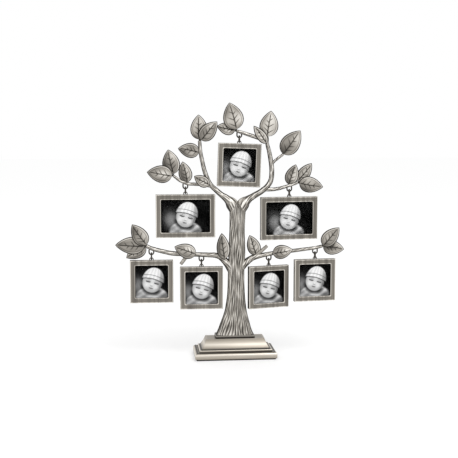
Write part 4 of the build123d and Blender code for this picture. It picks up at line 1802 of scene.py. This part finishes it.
@dataclass
class Hanging:
    """One frame with its eyelet, link and print, in millimetres; yaw is in degrees.

    The frame's own place has its origin in the middle of the link's lower run. A row of the worn edge holds
    its inset from the frame's outside, how far it is behind the front, its corner radius and its tone. A row
    by the window holds the same, but its first value is how far it is outside the window's edge.
    """

    name: str
    host: Branch
    x: float
    width: float
    offset: float = 0.0
    yaw: float = 0.0
    height: float = SIZES.frame_height
    depth: float = 5.0
    border: float = 5.2
    wall: float = 2.0
    face: float = 1.4
    forward: float = 0.3
    pane: float = 1.0
    print_gap: float = 0.06
    print_thickness: float = 0.24
    print_play: float = 0.1
    eyelet_wire: float = 1.4
    eyelet_half: float = 2.3
    eyelet_drop: float = 4.1
    eyelet_sunk: float = 0.6
    link_wire: float = 1.5
    link_half: float = 1.7
    link_length: float = 6.2
    eye_wire: float = 1.0
    eye_half: float = 1.75
    eye_sunk: float = 1.0
    play: float = 0.15
    seat_gap: float = 0.35
    corner: float = 0.3
    window_corner: float = 1.5
    side_tone: float = 0.4
    pocket_tone: float = 0.3
    edge_rows: Rows = field(default_factory=lambda: [
        (0.0, 0.8, 0.3, 0.45), (0.1, 0.45, 0.3, 0.8), (0.4, 0.12, 0.3, 0.95), (0.8, 0.0, 0.3, 0.75),
        (1.25, 0.04, 0.3, 0.5), (1.4, 0.16, 0.3, 0.32), (1.7, 0.2, 0.3, 0.5),
    ])
    window_rows: Rows = field(default_factory=lambda: [(1.25, 0.2, 0.7, 0.5), (1.05, 0.2, 0.9, 0.3)])
    bead_place: float = 0.55
    bead_half: float = 0.45
    bead_rise: float = 0.25
    bead_corner: float = 1.2
    bead_tones: tuple[float, float] = (0.35, 0.5)

    def bar(self) -> float:
        """Find the height of the eyelet's lowest run.

        Returns:
            Its height, a drop below the branch's underside.
        """
        known = self.host.stations()
        order = np.argsort(known[:, 0])
        z = np.interp(self.x, known[order, 0], known[order, 1])
        width = np.interp(self.x, known[order, 0], known[order, 2])
        return float(z - width / 2 - self.eyelet_drop)

    def link_top(self) -> float:
        """Height of the link's upper run."""
        return self.bar() + (self.eyelet_wire + self.link_wire) / 2 + self.play

    def top_edge(self) -> float:
        """Height of the frame's top edge in its own place."""
        return -self.link_wire / 2 - self.seat_gap

    def middle(self) -> float:
        """Height of the frame's middle in its own place."""
        return self.top_edge() - self.height / 2

    def eye_top(self) -> float:
        """Height of the eye's bar in the frame's own place."""
        return (self.link_wire + self.eye_wire) / 2 + self.play

    def matrix(self) -> Matrix:
        """Find where the frame hangs: at the link's lower run, turned by its yaw and the roll of its balance.

        Returns:
            The motion from the frame's own place.
        """
        roll = math.atan2(self.offset, -self.middle())
        return (
            Matrix.Translation(Vector((self.x, 0, self.link_top() - self.link_length)))
            @ Matrix.Rotation(math.radians(self.yaw), 4, "Z")
            @ Matrix.Rotation(roll, 4, "Y")
        )

    def add_eyelet(self, skin: Skin) -> None:
        """Add the eyelet: a U of round wire whose feet end in the branch.

        Args:
            skin: The skin to add to.
        """
        path = arch(self.eyelet_half, -self.eyelet_drop - self.eyelet_sunk, 0.0)
        x, z = self.x + path[:, 0], self.bar() - path[:, 1]
        skin.add_rings(*wire_rings(np.stack([x, x * 0, z], axis=-1), self.eyelet_wire / 2, False))

    def build_link(self, metal: bpy.types.Material) -> None:
        """Make the link: a closed loop of round wire with half-circle ends, seen edge-on from the front.

        Args:
            metal: The wire's finish.
        """
        top, radius = self.link_top(), self.link_half
        turn = np.linspace(0, math.pi, 16)
        upper = np.stack([radius * np.cos(turn), top - radius + radius * np.sin(turn)], axis=-1)
        lower = np.stack([
            -radius * np.cos(turn), top - self.link_length + radius - radius * np.sin(turn),
        ], axis=-1)
        path = np.concatenate([upper, lower])
        points = np.stack([np.full(len(path), self.x), path[:, 0], path[:, 1]], axis=-1)
        skin = Skin()
        skin.add_rings(*wire_rings(points, self.link_wire / 2, True), closed=True)
        place(skin.piece(self.name + "_link_wire"), metal, self.name + "_link", "wire", self.name + "_link")

    def profile(self) -> Rows:
        """The frame's section, all the way round.

        It runs up the outside, over the worn edge, across the flat bar, over the bead round the window, and
        through the pocket that takes pane and print. The bead is most of a half ellipse, palest on its crest.

        Returns:
            Inset from the frame's edge, Y, corner radius and tone of each ring.
        """
        front, back, lip, floor = -self.depth / 2, self.depth / 2, self.border, self.face - self.depth / 2
        rows: Rows = [(0.0, y, self.corner, self.side_tone) for y in (back, 0.0)]
        rows += [(inset, front + sunk, radius, tone) for inset, sunk, radius, tone in self.edge_rows]
        rows += [(lip - away, front + sunk, radius, tone) for away, sunk, radius, tone in self.window_rows]
        flank_shade_tone, crest_rub = self.bead_tones
        for turn in np.linspace(0, math.pi * 0.8, 8):
            rows.append((
                lip - self.bead_place - self.bead_half * math.cos(turn),
                front + self.bead_rise - self.bead_rise * math.sin(turn),
                self.bead_corner,
                flank_shade_tone + crest_rub * math.sin(turn),
            ))
        rows += [(lip - 0.02, front + 0.4, self.window_corner, 0.35), (lip, floor, self.window_corner, 0.08)]
        return rows + [(self.wall, y, self.corner, self.pocket_tone) for y in (floor, back)]

    def build_frame(self, metal: bpy.types.Material) -> None:
        """Make the frame with its eye: rounded rectangles through the section's rings, closed round the back.

        Args:
            metal: The brushed finish.
        """
        rings, tones = [], []
        for inset, y, radius, tone in self.profile():
            outline = rounded_rectangle(self.width - 2 * inset, self.height - 2 * inset, radius)
            x, z = outline[:, 0] + self.offset, outline[:, 1] + self.middle()
            rings.append(np.stack([x, np.full(len(x), y + self.forward), z], axis=-1))
            tones.append(np.full(len(x), tone))
        skin = Skin()
        skin.add_rings(moved(np.array(rings), self.matrix()), np.array(tones), closed=True)
        path = arch(self.eye_half, self.top_edge() - self.eye_sunk, self.eye_top())
        eye = np.stack([path[:, 0], path[:, 0] * 0, path[:, 1]], axis=-1)
        eye_rings, eye_tones = wire_rings(eye, self.eye_wire / 2, False)
        # Painted shade: the eye is laid in at half its tone, as if in shade on the frame's top.
        skin.add_rings(moved(eye_rings, self.matrix()), eye_tones * 0.5)
        place(
            skin.piece(self.name + "_frame_face", 28.0), metal, self.name + "_frame", "frame_metal",
            self.name + "_frame",
        )

    def build_print(self, paper: bpy.types.Material) -> None:
        """Make the print, which lies behind the pane in the frame's pocket.

        Args:
            paper: The print's finish.
        """
        room = 2 * (self.wall + self.print_play)
        front = self.forward - self.depth / 2 + self.face + self.pane + self.print_gap
        shift = Matrix.Translation(Vector((self.offset, 0, self.middle())))
        skin = Skin()
        portrait = Portrait(self.width - room, self.height - room, self.height / 2 - self.border)
        portrait.build(skin, front, front + self.print_thickness, self.matrix() @ shift)
        place(
            skin.piece(self.name + "_print", 30.0), paper, self.name + "_frame", "print_paper",
            self.name + "_picture",
        )


@dataclass
class Frames:
    """The seven hanging frames."""

    hangings: tuple[Hanging, ...] = (
        Hanging("top", TOP_TWIG, SIZES.ring_half * 0.13, SIZES.square, offset=0.8),
        Hanging("upper_left", LEFT_TWIG, SIZES.lean - SIZES.upper_reach, SIZES.landscape),
        Hanging("upper_right", RIGHT_TWIG, SIZES.lean + SIZES.upper_reach, SIZES.landscape, yaw=8.0),
        Hanging("outer_left", LEFT_BOUGH, SIZES.outer_left, SIZES.square),
        Hanging("inner_left", LEFT_BOUGH, SIZES.lower_middle - SIZES.inner_reach, SIZES.square),
        Hanging("inner_right", RIGHT_BOUGH, SIZES.lower_middle + SIZES.inner_reach, SIZES.square, yaw=14.0),
        Hanging("outer_right", RIGHT_BOUGH, SIZES.outer_right, SIZES.square, yaw=6.0),
    )

    def build(self, metal: bpy.types.Material, wire: bpy.types.Material, paper: bpy.types.Material) -> None:
        """Make every frame, link and print, and all the eyelets as one piece.

        Args:
            metal: The frames' finish.
            wire: The hangers' finish.
            paper: The prints' finish.
        """
        eyelets = Skin()
        for hanging in self.hangings:
            hanging.add_eyelet(eyelets)
            hanging.build_link(wire)
            hanging.build_frame(metal)
            hanging.build_print(paper)
        place(eyelets.piece("branch_eyelets_wire"), wire, "tree", "wire", "branch_eyelets")


# The studio


@dataclass(frozen=True)
class Lamp:
    """A square soft lamp: its name, place and side in metres, and power in watts."""

    name: str
    spot: tuple[float, float, float]
    side: float
    power: float

    def build(self, target: tuple[float, float, float]) -> None:
        """Add the lamp to the scene.

        Args:
            target: What it points at.
        """
        data = bpy.data.lights.new(self.name, "AREA")
        data.size, data.energy = self.side, self.power
        lamp = bpy.data.objects.new(self.name, data)
        bpy.context.scene.collection.objects.link(lamp)
        lamp.location = self.spot
        lamp.rotation_mode = "QUATERNION"
        lamp.rotation_quaternion = (Vector(target) - Vector(self.spot)).to_track_quat("-Z", "Y")


@dataclass
class Studio:
    """Camera, floor, world and lamps, in degrees and metres; the sensor is in millimetres.

    The lens follows from the camera's distance in widths of the photograph, both in pixels.
    """

    azimuth: float = -5.5
    elevation: float = 6.4
    distance: float = 0.9
    target: tuple[float, float, float] = (-0.0056, 0.0, 0.1293)
    sensor: float = 36.0
    focal_pixels: float = 900.0
    photo_pixels: float = 458.0
    clip: tuple[float, float] = (0.01, 50.0)
    floor_half: float = 6.0
    floor_colour: str = "d8d8d8"
    floor_lift: float = 0.3
    lamps: tuple[Lamp, ...] = (
        Lamp("key", (0.55, -0.9, 1.5), 0.9, 6.0), Lamp("fill", (-1.1, -1.1, 0.7), 1.2, 3.0),
    )

    def camera(self) -> None:
        """Place the camera on a sphere round its target, at the photograph's angle."""
        a, e = math.radians(self.azimuth), math.radians(self.elevation)
        back = Vector((math.sin(a) * math.cos(e), -math.cos(a) * math.cos(e), math.sin(e)))
        data = bpy.data.cameras.new("camera")
        data.lens = self.sensor * self.focal_pixels / self.photo_pixels
        data.sensor_width, data.sensor_fit = self.sensor, "HORIZONTAL"
        data.clip_start, data.clip_end = self.clip
        camera = bpy.data.objects.new("camera", data)
        bpy.context.scene.collection.objects.link(camera)
        camera.location = Vector(self.target) + back * self.distance
        camera.rotation_mode = "QUATERNION"
        camera.rotation_quaternion = (-back).to_track_quat("-Z", "Y")
        bpy.context.scene.camera = camera

    def seen(self, tree: bpy.types.NodeTree) -> bpy.types.NodeSocket:
        """Add nodes that say whether the camera looks here, itself or by way of metal or glass.

        Args:
            tree: The node tree.

        Returns:
            The socket: 1 for such a ray, else 0.
        """
        path = add_node(tree, "ShaderNodeLightPath")
        seen = path.outputs["Is Camera Ray"]
        for kind in ("Is Glossy Ray", "Is Transmission Ray"):
            seen = add_node(
                tree, "ShaderNodeMath", {"operation": "MAXIMUM"}, {0: seen, 1: path.outputs[kind]}
            ).outputs[0]
        return seen

    def floor(self) -> None:
        """Lay a pale floor: a plain matt surface whose lit level is lifted to white where it is seen."""
        side = self.floor_half
        mesh = bpy.data.meshes.new("floor")
        mesh.from_pydata(
            [(-side, -side, 0), (side, -side, 0), (side, side, 0), (-side, side, 0)], [], [(0, 1, 2, 3)]
        )
        floor = bpy.data.objects.new("floor", mesh)
        bpy.context.scene.collection.objects.link(floor)
        floor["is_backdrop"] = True
        material = blank_material("pale_floor")
        tree = material.node_tree
        matt = add_node(tree, "ShaderNodeBsdfDiffuse", {"[Color]": linear(self.floor_colour)})
        seen = add_node(
            tree, "ShaderNodeMath", {"operation": "MULTIPLY", "[1]": self.floor_lift}, {0: self.seen(tree)}
        )
        lift = add_node(
            tree, "ShaderNodeEmission", {"[Color]": linear("ffffff")}, {"Strength": seen.outputs[0]}
        )
        both = add_node(tree, "ShaderNodeAddShader", links={0: matt.outputs[0], 1: lift.outputs[0]})
        add_node(tree, "ShaderNodeOutputMaterial", links={"Surface": both.outputs[0]})
        mesh.materials.append(material)

    def world(self) -> None:
        """Light the scene softly from all round with plain white."""
        world = bpy.data.worlds.new("studio")
        bpy.context.scene.world = world
        world.use_nodes = True
        tree = world.node_tree
        tree.nodes.clear()
        sky = add_node(tree, "ShaderNodeBackground", {"[Color]": linear("ffffff"), "[Strength]": 1.0})
        add_node(tree, "ShaderNodeOutputWorld", links={"Surface": sky.outputs[0]})

    def build(self) -> None:
        """Set up the whole studio."""
        bpy.context.scene.view_settings.view_transform = "Standard"
        self.camera()
        self.floor()
        self.world()
        for lamp in self.lamps:
            lamp.build(self.target)


def dress_solids(nodes: dict[str, bpy.types.Object]) -> None:
    """Give the solids that stay their finishes, by the last word of their names.

    Args:
        nodes: The solids' objects by name.
    """
    finishes = {"felt": FELT.make(), "screws": ZINC.make(), "pane": CLEAR.make(), "back": BOARD.make()}
    for name, node in nodes.items():
        finish = finishes.get(name.rsplit("_", 1)[-1])
        if finish is not None:
            node.data.materials.clear()
            node.data.materials.append(finish)
            LOG.info("%s: %s", name, finish.name)


def corners() -> list[list[float]]:
    """The whole object's lowest and highest corner as plain numbers."""
    return [list(corner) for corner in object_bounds()]


def main() -> None:
    """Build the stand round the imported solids."""
    logging.basicConfig(level=logging.INFO, format="%(name)s %(message)s")
    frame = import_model()
    cast, brushed, level = CAST.make(), BRUSHED_UPRIGHT.make(), BRUSHED_LEVEL.make()
    Studio().build()
    Plinth().build(level)
    Trunk().build(cast)
    Boughs().build(cast)
    Leaves().build(cast)
    Frames().build(brushed, WIRE.make(), PAPER.make())
    dress_solids(frame["nodes"])


if __name__ == "__main__":
    main()
